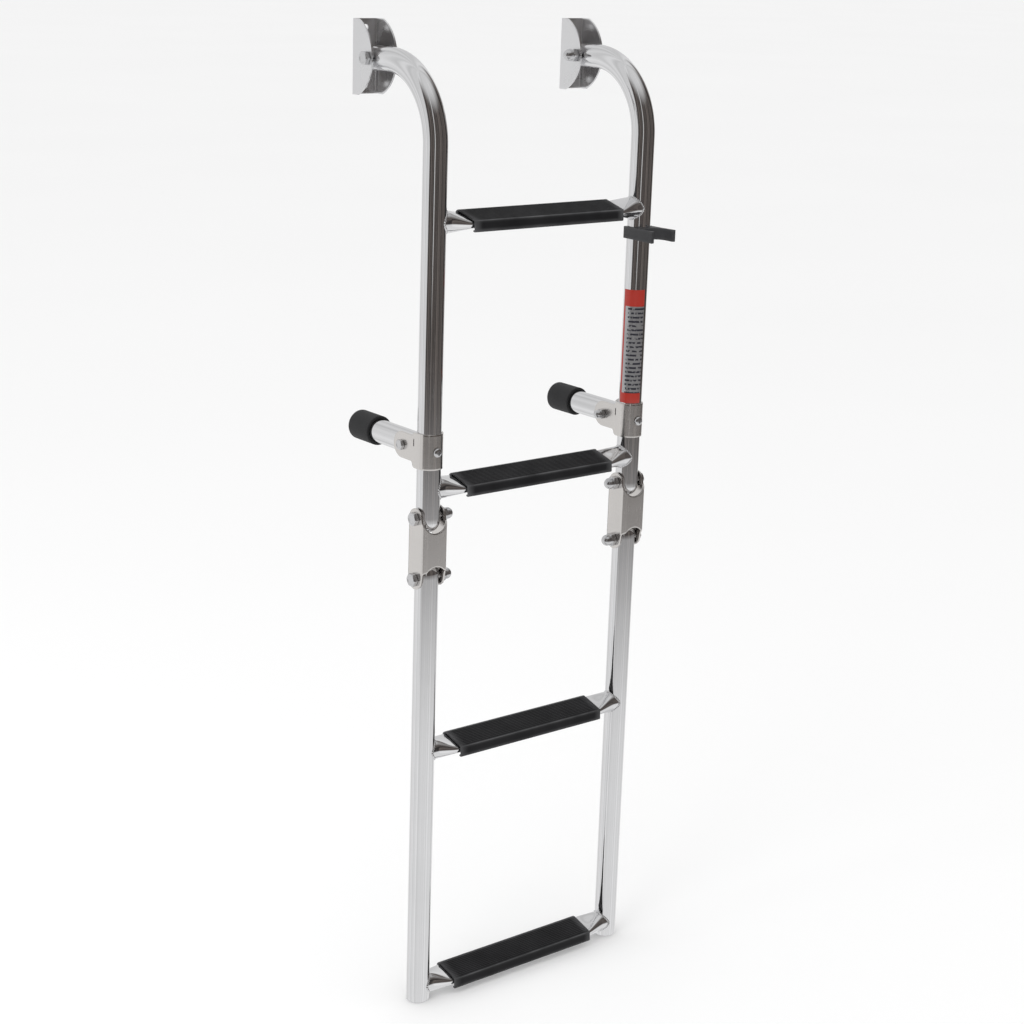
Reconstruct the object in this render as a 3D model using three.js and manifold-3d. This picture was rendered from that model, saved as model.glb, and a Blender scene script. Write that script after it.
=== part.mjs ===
// Folding four-step boarding ladder for a boat transom.
//
// Frame: millimetres, +Z up, +X along the steps to the right as seen by the climber,
// +Y towards the boat. The origin lies on the transom face (y = 0), midway between
// the two mounting brackets and at their mid height.

import * as THREE from 'three';
import { mergeVertices } from 'three/addons/utils/BufferGeometryUtils.js';
import Module from 'manifold-3d';

const wasm = await Module();
wasm.setup();

// ---------------------------------------------------------------- driving dimensions

const GAP = 0.3; // clearance kept between pieces that touch
const RAIL_SPACING = 277; // between the rail centre lines
const RAIL_OFFSET = 127.5; // transom face to the straight run of the rails
const RAIL_D = 25.4;
const RAIL_WALL = 1.4;
const BEND_RADIUS = 80; // centre line of the top bend
const RAIL_PAST_PIVOT = 12; // rail end beyond the bracket bolt

const HINGE_DROP = 463.5; // bracket bolt down to the upper hinge bolt
const HINGE_SPACING = 66.5; // between the two bolts of one hinge link
const FOOT_DROP = 496; // lower hinge bolt down to the rail foot
const RAIL_PAST_HINGE = 6; // tube end beyond a hinge bolt
const DOME_DEPTH = 11;
const PLUG_SPIGOT_LENGTH = 17;

const STEP_DROPS = [155.6, 433.7]; // bracket bolt down to the upper step tubes
const LOWER_STEP_DROPS = [197.7, 478.9]; // lower hinge bolt down to the lower step tubes
const STEP_TUBE_D = 24;
const STEP_TUBE_WALL = 1.3;
const STEP_TILT = THREE.MathUtils.degToRad(15); // rear edge raised
const PAD_HALF_WIDTH = 15.5; // flattened run of a step tube
const PAD_HALF_HEIGHT = 4.3;
const PAD_CORNER_SPREAD = 2.2; // how quickly the pad's rim leaves its rounded ends
const PAD_PAST_TREAD = 0.5; // flat run beyond each end of the tread
const STEP_TAPER_START = 1; // round run left between rail and taper

const TREAD_LENGTH = 199.5;
const TREAD_WALL = 2;
const TREAD_CLEARANCE = 0.4;
const TREAD_FRONT = 17.4; // tread nose ahead of the step tube's centre
const TREAD_LIP_FLARE = 2.8; // how far the foot of the lip leans forward
const TREAD_LIP_DEPTH = 12.4;
const TREAD_HOOK = 1.8;
const TREAD_HOOK_WALL = 1.6;
const GROOVE_PITCH = 2.8;
const GROOVE_WIDTH = 1;
const GROOVE_DEPTH = 0.5;
const GROOVE_COUNT = 9;
const GROOVE_SETBACK = 1; // grooves behind the middle of the flat top

const BRACKET_HEIGHT = 76.5;
const BRACKET_WALL = 2;
const BRACKET_EAR_CLEARANCE = 1.3; // rail side to ear
const BRACKET_EAR_DEPTH = 37;
const BRACKET_EAR_RADIUS = 42;
const BRACKET_BEND = 4;
const BRACKET_PIVOT_DEPTH = 27.5; // transom face to the pivot bolt
const BRACKET_SCREW_SPACING = 58;
const BRACKET_SCREW_HOLE_D = 6.6;

const LINK_WALL = 2;
const LINK_CHEEK_CLEARANCE = 1.2;
const LINK_WEB_CLEARANCE = 1.6;
const LINK_BEND = 5;
const LINK_END_RADIUS = 11;
const LINK_WEB_TOP = 6.5; // web corner below the upper bolt
const LINK_WEB_BOTTOM = 10.5; // web corner above the lower bolt
const LINK_SHOULDER = 0.7; // how far a web corner pulls its curve, of the corner's drop
const LINK_NOTCH_CLEARANCE = 2.2; // a folded rail passing through the web's notch

const CLAMP_DROP = 391.5; // bracket bolt down to the stand-off clamps
const CLAMP_HEIGHT = 38;
const CLAMP_WALL = 1.5;
const CLAMP_CHEEK_REACH = 10;
const CLAMP_CORNER = 4;
const EAR_RADIUS = 14.2;
const STANDOFF_PIVOT = 29; // rail centre line to the stand-off bolt
const STANDOFF_RISE = 1.5; // stand-off bolt above the clamp's mid height
const STANDOFF_D = RAIL_D; // the same tube as the rails, so that it fills the clamp
const STANDOFF_WALL = 1.4;
const STANDOFF_PAST_PIVOT = 8;
const CLAMP_SLOT_HEIGHT = 10;
const CLAMP_SLOT_WIDTH = 1.4;
const CLAMP_SLOT_SETBACK = 7.5;
const CLAMP_SLOT_RISE = 8;

const CAP_WALL = 3.3;
const CAP_LENGTH = 37;
const CAP_END = 5;
const CAP_EDGE = 2;

const PIVOT_BOLT_D = 8;
const PIVOT_BOLT_HEX = 13;
const PIVOT_BOLT_HEAD = 5;
const STANDOFF_BOLT_D = 6;
const STANDOFF_BOLT_HEX = 10;
const STANDOFF_BOLT_HEAD = 3.8;
const LOCK_SCREW_D = 5;
const LOCK_SCREW_HEAD_D = 10;
const LOCK_SCREW_HEAD = 3;
const LOCK_SCREW_LENGTH = 9;
const LOCK_SCREW_RECESS = 1.4;
const LOCK_SCREW_RECESS_REACH = 2.75; // half length of the cross
const LOCK_SCREW_RECESS_HALF_WIDTH = 0.6;
const LOCK_SCREW_CROWN = [
  // share of the head's radius, share of its height, from the rim to the crown
  [1, 0.45],
  [0.8, 0.85],
  [0.45, 1],
  [0, 1],
];
const PIVOT_NUT_BORE_DEPTH = 8;
const STANDOFF_NUT_BORE_DEPTH = 6;

const FOOT_PLUG_THICKNESS = 4;
const FOOT_PLUG_RECESS = 0.8;

const CLIP_DROP = 182.5; // bracket bolt down to the storage clip
const CLIP_HEIGHT = 12.8;
const CLIP_WALL = 2.4; // beside the rail it grips
const CLIP_TIP_FLARE = 2.1; // how far the front tips spread beyond the walls
const CLIP_BACK_SETBACK = 4.7; // rail's rear to the ends of the gripping walls
const CLIP_BRIDGE = 3;
const CLIP_JAW_DEPTH = 25; // bridge to the front tips
const CLIP_JAW_CLEARANCE = 0.7; // a folded rail in the front jaw
const CLIP_HOOK = 3.2;
const CLIP_HOOK_INSET = 0.3; // how far each hook narrows the jaw
const CLIP_HOOK_RUN = 1; // length of a hook's ramp
const CLIP_TIP_CHAMFER = 1.5;

const LABEL_TOP_DROP = 244.5;
const LABEL_HEIGHT = 127;
const LABEL_THICKNESS = 0.35;
const LABEL_SPAN = THREE.MathUtils.degToRad(120);
const LABEL_BEARING = THREE.MathUtils.degToRad(-138); // its middle, seen from the rail's axis

// ---------------------------------------------------------------- derived values

const RAIL_R = RAIL_D / 2;
const RAIL_BORE_R = RAIL_R - RAIL_WALL;
const LEFT = -RAIL_SPACING / 2;
const RIGHT = RAIL_SPACING / 2;
const RAIL_Y = -RAIL_OFFSET;
const LOWER_HINGE_Z = -HINGE_DROP - HINGE_SPACING;
const FOOT_Z = LOWER_HINGE_Z - FOOT_DROP;
const CAP_D = STANDOFF_D + 2 * CAP_WALL;
const SHANK_HOLE_R = PIVOT_BOLT_D / 2 + GAP;
const STANDOFF_HOLE_R = STANDOFF_BOLT_D / 2 + GAP;
const LINK_INNER = RAIL_R + LINK_CHEEK_CLEARANCE;
const LINK_OUTER = LINK_INNER + LINK_WALL;
const LINK_FRONT = RAIL_R + LINK_WEB_CLEARANCE + LINK_WALL;
const BRACKET_OUTER = RAIL_R + BRACKET_EAR_CLEARANCE + BRACKET_WALL;
const CLAMP_INNER = RAIL_R + GAP;
const CLAMP_OUTER = CLAMP_INNER + CLAMP_WALL;
const HEX_TURN = 30; // degrees that bring a hexagon's corners to the front and rear
const SEGMENTS = 24; // sides of a round tube
const SMALL_SEGMENTS = 12; // sides of a bolt, bore or small head
const SMALL_RADIUS = 7;
const BEND_STATIONS = 10;
const NUT_HEX_SHARE = 0.5; // of the width across flats, for each length below
const NUT_DOME_SHARE = 0.48;
const NUT_HEIGHT_SHARE = 1.16;
const PAST = 5; // how far a cutter runs past the face it cuts

// ---------------------------------------------------------------- finishes

const FINISHES = {
  polished: { color: 0xb9b9bc, roughness: 0.15, metalness: 1 },
  satin: { color: 0xa8a5a3, roughness: 0.35, metalness: 1 },
  fastener: { color: 0xc0c0c2, roughness: 0.22, metalness: 1 },
  tread: { color: 0x1b1b1d, roughness: 0.55, metalness: 0 },
  rubber: { color: 0x202022, roughness: 0.7, metalness: 0 },
  clip: { color: 0x242427, roughness: 0.5, metalness: 0 },
  label: { color: 0x9c2a1c, roughness: 0.5, metalness: 0 },
};

// ---------------------------------------------------------------- solid helpers

// A closed three.js geometry becomes a solid once only its positions are kept.
function solid(geometry, matrix) {
  const bare = geometry.clone();
  bare.deleteAttribute('normal');
  bare.deleteAttribute('uv');
  if (matrix) bare.applyMatrix4(matrix);
  const merged = mergeVertices(bare, 1e-5);
  const mesh = new wasm.Mesh({
    numProp: 3,
    vertProperties: new Float32Array(merged.attributes.position.array),
    triVerts: new Uint32Array(merged.index.array),
  });
  return new wasm.Manifold(mesh);
}

function geometryOf(body) {
  const mesh = body.getMesh();
  const geometry = new THREE.BufferGeometry();
  const positions = new THREE.BufferAttribute(new Float32Array(mesh.vertProperties), 3);
  geometry.setAttribute('position', positions);
  geometry.setIndex(new THREE.BufferAttribute(new Uint32Array(mesh.triVerts), 1));
  geometry.computeVertexNormals();
  return geometry;
}

function move(x, y, z) {
  return new THREE.Matrix4().makeTranslation(x, y, z);
}

// A rod of radius r along X, Y or Z, from a to b on that axis, through the other two.
function rod(axis, radius, a, b, first = 0, second = 0, corners = 0) {
  const sides = corners || (radius < SMALL_RADIUS ? SMALL_SEGMENTS : SEGMENTS);
  const geometry = new THREE.CylinderGeometry(radius, radius, b - a, sides);
  const middle = (a + b) / 2;
  if (axis === 'x') {
    geometry.rotateZ(-Math.PI / 2);
    geometry.translate(middle, first, second);
  } else if (axis === 'y') {
    geometry.translate(first, middle, second);
  } else {
    geometry.rotateX(Math.PI / 2);
    geometry.translate(first, second, middle);
  }
  return solid(geometry);
}

function box(x0, x1, y0, y1, z0, z1) {
  const geometry = new THREE.BoxGeometry(x1 - x0, y1 - y0, z1 - z0);
  return solid(geometry, move((x0 + x1) / 2, (y0 + y1) / 2, (z0 + z1) / 2));
}

// An outline in (x, y) raised from z0 to z1.
function raise(shape, z0, z1, curveSegments = 12) {
  const geometry = new THREE.ExtrudeGeometry(shape, {
    depth: z1 - z0,
    bevelEnabled: false,
    curveSegments,
  });
  return solid(geometry, move(0, 0, z0));
}

// An outline in (y, z) carried along X from x0 to x1.
function carry(shape, x0, x1, curveSegments = 12) {
  const geometry = new THREE.ExtrudeGeometry(shape, {
    depth: x1 - x0,
    bevelEnabled: false,
    curveSegments,
  });
  const turn = new THREE.Matrix4().makeBasis(
    new THREE.Vector3(0, 1, 0),
    new THREE.Vector3(0, 0, 1),
    new THREE.Vector3(1, 0, 0),
  );
  return solid(geometry, turn.premultiply(move(x0, 0, 0)));
}

// A closed skin over a row of stations: place(k, angle, rho) gives the point of station k
// at that angle round it, rho being 1 on the skin and 0 at the middle of an end cap.
function loft(stationCount, sides, place) {
  const geometry = new THREE.CylinderGeometry(1, 1, 1, sides, stationCount - 1);
  const position = geometry.attributes.position;
  const point = new THREE.Vector3();
  for (let i = 0; i < position.count; i += 1) {
    point.fromBufferAttribute(position, i);
    const k = Math.round((0.5 - point.y) * (stationCount - 1));
    const rho = Math.hypot(point.x, point.z) > 0.5 ? 1 : 0;
    const target = place(k, Math.atan2(point.x, point.z), rho);
    position.setXYZ(i, target.x, target.y, target.z);
  }
  return solid(geometry);
}

// A U in (x, y): web along y = 0, arms towards +Y, outer corners of the given radius.
function channelOutline(halfWidth, wall, depth, corner) {
  const shape = new THREE.Shape();
  const inner = corner - wall;
  shape.moveTo(-halfWidth, depth);
  shape.lineTo(-halfWidth, corner);
  shape.absarc(-halfWidth + corner, corner, corner, Math.PI, 1.5 * Math.PI, false);
  if (corner < halfWidth) shape.lineTo(halfWidth - corner, 0);
  shape.absarc(halfWidth - corner, corner, corner, 1.5 * Math.PI, 2 * Math.PI, false);
  shape.lineTo(halfWidth, depth);
  shape.lineTo(halfWidth - wall, depth);
  shape.lineTo(halfWidth - wall, corner);
  shape.absarc(halfWidth - corner, corner, inner, 2 * Math.PI, 1.5 * Math.PI, true);
  if (corner < halfWidth) shape.lineTo(-halfWidth + corner, wall);
  shape.absarc(-halfWidth + corner, corner, inner, 1.5 * Math.PI, Math.PI, true);
  shape.lineTo(-halfWidth + wall, depth);
  shape.closePath();
  return shape;
}

const ladder = new THREE.Group();

function addMesh(parent, name, body, finish, x = 0, y = 0, z = 0) {
  const material = new THREE.MeshStandardMaterial(FINISHES[finish]);
  const mesh = new THREE.Mesh(geometryOf(body), material);
  mesh.name = name;
  mesh.position.set(x, y, z);
  parent.add(mesh);
  return mesh;
}

// ---------------------------------------------------------------- rails

// Centre line of an upper rail, in the plane of the rail: from its hinge end straight up,
// round the bend, and back to just past the bracket bolt.
function upperRailStations() {
  const stations = [];
  const top = -BEND_RADIUS;
  const up = new THREE.Vector3(0, 0, 1);
  stations.push({ at: new THREE.Vector3(0, 0, -HINGE_DROP - RAIL_PAST_HINGE), along: up });
  for (let i = 0; i <= BEND_STATIONS; i += 1) {
    const a = (i / BEND_STATIONS) * (Math.PI / 2);
    const y = BEND_RADIUS * (1 - Math.cos(a));
    const z = top + BEND_RADIUS * Math.sin(a);
    const along = new THREE.Vector3(0, Math.sin(a), Math.cos(a));
    stations.push({ at: new THREE.Vector3(0, y, z), along });
  }
  const end = RAIL_OFFSET - BRACKET_PIVOT_DEPTH + RAIL_PAST_PIVOT;
  stations.push({ at: new THREE.Vector3(0, end, 0), along: new THREE.Vector3(0, 1, 0) });
  return stations;
}

function railSkin(stations, radius, overrun) {
  const last = stations.length - 1;
  return loft(stations.length, SEGMENTS, (k, angle, rho) => {
    const { at, along } = stations[last - k];
    const side = new THREE.Vector3(1, 0, 0);
    const across = new THREE.Vector3().crossVectors(along, side);
    const point = at.clone();
    if (last - k === 0) point.addScaledVector(along, -overrun);
    if (last - k === last) point.addScaledVector(along, overrun);
    point.addScaledVector(side, rho * radius * Math.sin(angle));
    point.addScaledVector(across, -rho * radius * Math.cos(angle));
    return point;
  });
}

function upperRail() {
  const stations = upperRailStations();
  const pivotY = RAIL_OFFSET - BRACKET_PIVOT_DEPTH;
  let body = railSkin(stations, RAIL_R, 0).subtract(railSkin(stations, RAIL_BORE_R, PAST));
  body = body.subtract(rod('x', SHANK_HOLE_R, -RAIL_R - PAST, RAIL_R + PAST, pivotY, 0));
  const hinge = rod('x', SHANK_HOLE_R, -RAIL_R - PAST, RAIL_R + PAST, 0, -HINGE_DROP);
  return body.subtract(hinge).subtract(lockScrewHole());
}

// Clearance for the lock screw through the front wall of the rail.
function lockScrewHole() {
  const radius = LOCK_SCREW_D / 2 + GAP;
  return rod('y', radius, -CLAMP_OUTER - PAST, 0, 0, -CLAMP_DROP);
}

function lowerRail() {
  const top = LOWER_HINGE_Z + RAIL_PAST_HINGE;
  const body = rod('z', RAIL_R, FOOT_Z, top).subtract(rod('z', RAIL_BORE_R, FOOT_Z - PAST, top + PAST));
  return body.subtract(rod('x', SHANK_HOLE_R, -RAIL_R - PAST, RAIL_R + PAST, 0, LOWER_HINGE_Z));
}

// Domed plug for a rail end at a hinge, dome down, with its bolt at the origin.
function hingePlug() {
  const seat = -RAIL_PAST_HINGE - GAP;
  const profile = [new THREE.Vector2(0, seat - DOME_DEPTH)];
  const domeSteps = 5;
  for (let i = 1; i <= domeSteps; i += 1) {
    const a = (i / domeSteps) * (Math.PI / 2);
    profile.push(new THREE.Vector2(RAIL_R * Math.sin(a), seat - DOME_DEPTH * Math.cos(a)));
  }
  const spigot = RAIL_BORE_R - GAP;
  profile.push(new THREE.Vector2(spigot, seat));
  profile.push(new THREE.Vector2(spigot, seat + PLUG_SPIGOT_LENGTH));
  profile.push(new THREE.Vector2(0, seat + PLUG_SPIGOT_LENGTH));
  const geometry = new THREE.LatheGeometry(profile, SEGMENTS);
  geometry.rotateX(Math.PI / 2);
  const bore = rod('x', SHANK_HOLE_R, -RAIL_R - PAST, RAIL_R + PAST);
  return solid(geometry).subtract(bore);
}

function footPlug() {
  const bottom = FOOT_Z + FOOT_PLUG_RECESS;
  return rod('z', RAIL_BORE_R - GAP, bottom, bottom + FOOT_PLUG_THICKNESS);
}

// ---------------------------------------------------------------- steps

// Skin of a step tube: round where it meets the rails, flattened under the tread.
function stepSkin(inset, overrun) {
  const meet = RAIL_SPACING / 2;
  const round = STEP_TUBE_D / 2 - inset;
  const flatEnd = TREAD_LENGTH / 2 + PAD_PAST_TREAD;
  const roundStart = meet - RAIL_R - STEP_TAPER_START;
  const taperSteps = 4;
  const stations = [{ x: -meet - overrun, flat: 0 }];
  for (let i = 0; i <= taperSteps; i += 1) {
    const t = i / taperSteps;
    const flat = t * t * (3 - 2 * t);
    stations.push({ x: -roundStart + t * (roundStart - flatEnd), flat });
  }
  const mirrored = stations.map(({ x, flat }) => ({ x: -x, flat })).reverse();
  const all = stations.concat(mirrored);
  const padCorner = PAD_HALF_HEIGHT - inset;
  const padCentre = PAD_HALF_WIDTH - PAD_HALF_HEIGHT;
  return loft(all.length, 16, (k, angle, rho) => {
    const { x, flat } = all[k];
    const across = Math.sin(angle);
    const rise = Math.cos(angle);
    const spread = THREE.MathUtils.clamp(across * PAD_CORNER_SPREAD, -1, 1);
    const padY = padCentre * spread + padCorner * across;
    const padZ = padCorner * rise;
    const y = rho * THREE.MathUtils.lerp(round * across, padY, flat);
    const z = rho * THREE.MathUtils.lerp(round * rise, padZ, flat);
    return new THREE.Vector3(x, y, z).applyAxisAngle(new THREE.Vector3(1, 0, 0), STEP_TILT);
  });
}

function stepTube() {
  let body = stepSkin(0, 0).subtract(stepSkin(STEP_TUBE_WALL, PAST));
  for (const side of [LEFT, RIGHT]) {
    body = body.subtract(rod('z', RAIL_R + GAP, -RAIL_D, RAIL_D, side, 0));
    const beyond = side + Math.sign(side) * RAIL_D * 2;
    const low = Math.min(side, beyond);
    const high = Math.max(side, beyond);
    body = body.subtract(box(low, high, -RAIL_D, RAIL_D, -RAIL_D, RAIL_D));
  }
  return body;
}

// Tread section in (y, z) round the flattened tube's centre: a grooved top, a deep front
// lip with a hook under the tube, and a rear edge rolled round it.
function treadOutline() {
  const inside = PAD_HALF_HEIGHT + TREAD_CLEARANCE;
  const outside = inside + TREAD_WALL;
  const rearCentre = PAD_HALF_WIDTH - PAD_HALF_HEIGHT;
  const rearEnd = -Math.PI / 3;
  const nose = -TREAD_FRONT;
  const lip = nose - TREAD_LIP_FLARE;
  const edge = 2; // rounding of the outer corners
  const shape = new THREE.Shape();
  const foot = outside - TREAD_LIP_DEPTH;
  shape.moveTo(lip + edge + TREAD_HOOK, foot);
  shape.lineTo(lip + edge, foot);
  shape.quadraticCurveTo(lip, foot, lip, foot + edge);
  shape.lineTo(nose, outside - edge);
  shape.quadraticCurveTo(nose, outside, nose + edge, outside);
  const grooveRun = (GROOVE_COUNT - 1) * GROOVE_PITCH;
  for (let i = 0; i < GROOVE_COUNT; i += 1) {
    const middle = (nose + rearCentre) / 2 - grooveRun / 2 + i * GROOVE_PITCH + GROOVE_SETBACK;
    shape.lineTo(middle - GROOVE_WIDTH / 2, outside);
    shape.lineTo(middle, outside - GROOVE_DEPTH);
    shape.lineTo(middle + GROOVE_WIDTH / 2, outside);
  }
  shape.absarc(rearCentre, 0, outside, Math.PI / 2, rearEnd, true);
  shape.absarc(rearCentre, 0, inside, rearEnd, Math.PI / 2, false);
  shape.lineTo(nose + TREAD_WALL + edge, inside);
  shape.quadraticCurveTo(nose + TREAD_WALL, inside, nose + TREAD_WALL, inside - edge);
  const hookTop = foot + TREAD_HOOK_WALL;
  shape.lineTo(lip + TREAD_WALL, hookTop + edge / 2);
  shape.quadraticCurveTo(lip + TREAD_WALL, hookTop, lip + TREAD_WALL + edge / 2, hookTop);
  shape.lineTo(lip + edge + TREAD_HOOK, hookTop);
  shape.closePath();
  return shape;
}

// ---------------------------------------------------------------- brackets and links

// Wall bracket: a back plate on the transom and two D-shaped ears.
function bracket() {
  const half = BRACKET_HEIGHT / 2;
  const arcCentre = BRACKET_EAR_RADIUS - BRACKET_EAR_DEPTH;
  const sweep = Math.asin(half / BRACKET_EAR_RADIUS);
  const side = new THREE.Shape();
  side.moveTo(0, -half);
  side.lineTo(0, half);
  side.absarc(arcCentre, 0, BRACKET_EAR_RADIUS, Math.PI - sweep, Math.PI + sweep, false);
  side.closePath();
  const depth = BRACKET_EAR_DEPTH + PAST;
  const flip = new THREE.Matrix4().makeRotationZ(Math.PI);
  const section = channelOutline(BRACKET_OUTER, BRACKET_WALL, depth, BRACKET_BEND);
  const channel = new THREE.ExtrudeGeometry(section, {
    depth: BRACKET_HEIGHT + 2 * PAST,
    bevelEnabled: false,
    curveSegments: 4,
  });
  let body = solid(channel, flip.multiply(move(0, 0, -half - PAST)));
  body = body.intersect(carry(side, -BRACKET_OUTER, BRACKET_OUTER, 14));
  const bolt = rod('x', SHANK_HOLE_R, -BRACKET_OUTER - PAST, BRACKET_OUTER + PAST, -BRACKET_PIVOT_DEPTH, 0);
  body = body.subtract(bolt);
  for (const end of [-1, 1]) {
    const height = (end * BRACKET_SCREW_SPACING) / 2;
    const hole = rod('y', BRACKET_SCREW_HOLE_D / 2, -BRACKET_WALL - PAST, PAST, 0, height);
    body = body.subtract(hole);
  }
  return body;
}

// Hinge link: a channel with its web in front, cut back round the tubes at both ends so
// that they can fold forward square to it. Its upper bolt is at the origin.
function hingeLink() {
  const low = -HINGE_SPACING;
  const side = new THREE.Shape();
  side.moveTo(LINK_END_RADIUS, 0);
  side.absarc(0, 0, LINK_END_RADIUS, 0, Math.PI, false);
  const shoulderTop = -LINK_WEB_TOP * LINK_SHOULDER;
  const shoulderBottom = low + LINK_WEB_BOTTOM * LINK_SHOULDER;
  side.quadraticCurveTo(-LINK_END_RADIUS, shoulderTop, -LINK_FRONT, -LINK_WEB_TOP);
  side.lineTo(-LINK_FRONT, low + LINK_WEB_BOTTOM);
  side.quadraticCurveTo(-LINK_END_RADIUS, shoulderBottom, -LINK_END_RADIUS, low);
  side.absarc(0, low, LINK_END_RADIUS, Math.PI, 2 * Math.PI, false);
  side.closePath();
  const section = channelOutline(LINK_OUTER, LINK_WALL, LINK_FRONT + LINK_END_RADIUS + PAST, LINK_BEND);
  const channel = new THREE.ExtrudeGeometry(section, {
    depth: HINGE_SPACING + 2 * RAIL_D,
    bevelEnabled: false,
    curveSegments: 4,
  });
  let body = solid(channel, move(0, -LINK_FRONT, low - RAIL_D));
  body = body.intersect(carry(side, -LINK_OUTER, LINK_OUTER, 8));
  for (const z of [0, low]) {
    body = body.subtract(rod('x', SHANK_HOLE_R, -LINK_OUTER - PAST, LINK_OUTER + PAST, 0, z));
    const notch = RAIL_R + LINK_NOTCH_CLEARANCE;
    body = body.subtract(rod('y', notch, -LINK_FRONT - PAST, -LINK_END_RADIUS, 0, z));
  }
  return body;
}

// ---------------------------------------------------------------- stand-offs

// Clamp round the front of the rail, with two ears behind it for the stand-off bolt.
// Its origin is the rail centre line at the clamp's mid height.
function clamp() {
  const half = CLAMP_HEIGHT / 2;
  const corner = CLAMP_CORNER;
  const cheek = CLAMP_CHEEK_REACH;
  const side = new THREE.Shape();
  side.moveTo(-CLAMP_OUTER - 1, -half);
  side.lineTo(cheek - corner, -half);
  side.absarc(cheek - corner, -half + corner, corner, -Math.PI / 2, 0, false);
  side.lineTo(cheek, STANDOFF_RISE - EAR_RADIUS);
  side.lineTo(STANDOFF_PIVOT, STANDOFF_RISE - EAR_RADIUS);
  side.absarc(STANDOFF_PIVOT, STANDOFF_RISE, EAR_RADIUS, -Math.PI / 2, Math.PI / 2, false);
  side.lineTo(cheek, STANDOFF_RISE + EAR_RADIUS);
  side.lineTo(cheek, half - corner);
  side.absarc(cheek - corner, half - corner, corner, 0, Math.PI / 2, false);
  side.lineTo(-CLAMP_OUTER - 1, half);
  side.closePath();
  const depth = CLAMP_OUTER + STANDOFF_PIVOT + EAR_RADIUS + PAST;
  const section = channelOutline(CLAMP_OUTER, CLAMP_WALL, depth, CLAMP_OUTER);
  const channel = new THREE.ExtrudeGeometry(section, {
    depth: CLAMP_HEIGHT + 2 * PAST,
    bevelEnabled: false,
    curveSegments: 8,
  });
  let body = solid(channel, move(0, -CLAMP_OUTER, -half - PAST));
  body = body.intersect(carry(side, -CLAMP_OUTER, CLAMP_OUTER, 5));
  const reach = CLAMP_OUTER + PAST;
  body = body.subtract(rod('x', STANDOFF_HOLE_R, -reach, reach, STANDOFF_PIVOT, STANDOFF_RISE));
  body = body.subtract(rod('y', LOCK_SCREW_D / 2 + GAP, -reach, 0, 0, 0));
  const slotY = CLAMP_SLOT_SETBACK;
  const slotZ = CLAMP_SLOT_RISE;
  const slot = box(
    -reach,
    reach,
    slotY - CLAMP_SLOT_WIDTH / 2,
    slotY + CLAMP_SLOT_WIDTH / 2,
    slotZ - CLAMP_SLOT_HEIGHT / 2,
    slotZ + CLAMP_SLOT_HEIGHT / 2,
  );
  return body.subtract(slot);
}

// Stand-off tube, along +Y from just ahead of its bolt (the origin) into its cap.
function standoffTube() {
  const end = RAIL_OFFSET - STANDOFF_PIVOT - CAP_END - GAP;
  const outer = rod('y', STANDOFF_D / 2, -STANDOFF_PAST_PIVOT, end);
  const bore = rod('y', STANDOFF_D / 2 - STANDOFF_WALL, -STANDOFF_PAST_PIVOT - PAST, end + PAST);
  const across = rod('x', STANDOFF_HOLE_R, -STANDOFF_D, STANDOFF_D);
  return outer.subtract(bore).subtract(across);
}

// Rubber cap over the end of a stand-off, its end face on the transom.
function standoffCap() {
  const face = RAIL_OFFSET - STANDOFF_PIVOT;
  const r = CAP_D / 2;
  const cut = CAP_EDGE * (1 - Math.SQRT1_2);
  const bore = STANDOFF_D / 2 + GAP;
  const profile = [
    new THREE.Vector2(0, face - CAP_END),
    new THREE.Vector2(bore, face - CAP_END),
    new THREE.Vector2(bore, face - CAP_LENGTH),
    new THREE.Vector2(r, face - CAP_LENGTH),
    new THREE.Vector2(r, face - CAP_EDGE),
    new THREE.Vector2(r - cut, face - cut),
    new THREE.Vector2(r - CAP_EDGE, face),
    new THREE.Vector2(0, face),
  ];
  return solid(new THREE.LatheGeometry(profile, SEGMENTS));
}

// ---------------------------------------------------------------- fasteners

// Hexagonal prism along X from a to b, with corners to the front and rear.
function hexRod(acrossFlats, a, b) {
  return rod('x', acrossFlats / Math.sqrt(3), a, b, 0, 0, 6).rotate([HEX_TURN, 0, 0]);
}

// Hex-head bolt along +X: the origin is midway between the cheeks it passes through,
// and the head bears on the cheek at -X.
function hexBolt(diameter, hex, head, cheekOuter, nutDepth) {
  const seat = -cheekOuter - GAP;
  const shank = rod('x', diameter / 2, seat - head / 2, cheekOuter + nutDepth);
  return shank.add(hexRod(hex, seat - head, seat));
}

// Acorn nut bearing on the cheek at +X, with a blind bore for the bolt.
function acornNut(diameter, hex, cheekOuter, nutDepth) {
  const seat = cheekOuter + GAP;
  const hexLength = hex * NUT_HEX_SHARE;
  const dome = hex * NUT_DOME_SHARE;
  const shoulder = hex * NUT_HEIGHT_SHARE - dome;
  const profile = [new THREE.Vector2(0, 0), new THREE.Vector2(dome, 0)];
  const domeSteps = 3;
  for (let i = 0; i < domeSteps; i += 1) {
    const a = (i / domeSteps) * (Math.PI / 2);
    profile.push(new THREE.Vector2(dome * Math.cos(a), shoulder + dome * Math.sin(a)));
  }
  profile.push(new THREE.Vector2(0, shoulder + dome));
  const cap = new THREE.LatheGeometry(profile, SMALL_SEGMENTS);
  cap.rotateZ(-Math.PI / 2);
  const bore = rod('x', diameter / 2 + GAP, seat - PAST, cheekOuter + nutDepth + GAP);
  const body = solid(cap, move(seat, 0, 0)).add(hexRod(hex, seat, seat + hexLength));
  return body.subtract(bore);
}

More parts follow.
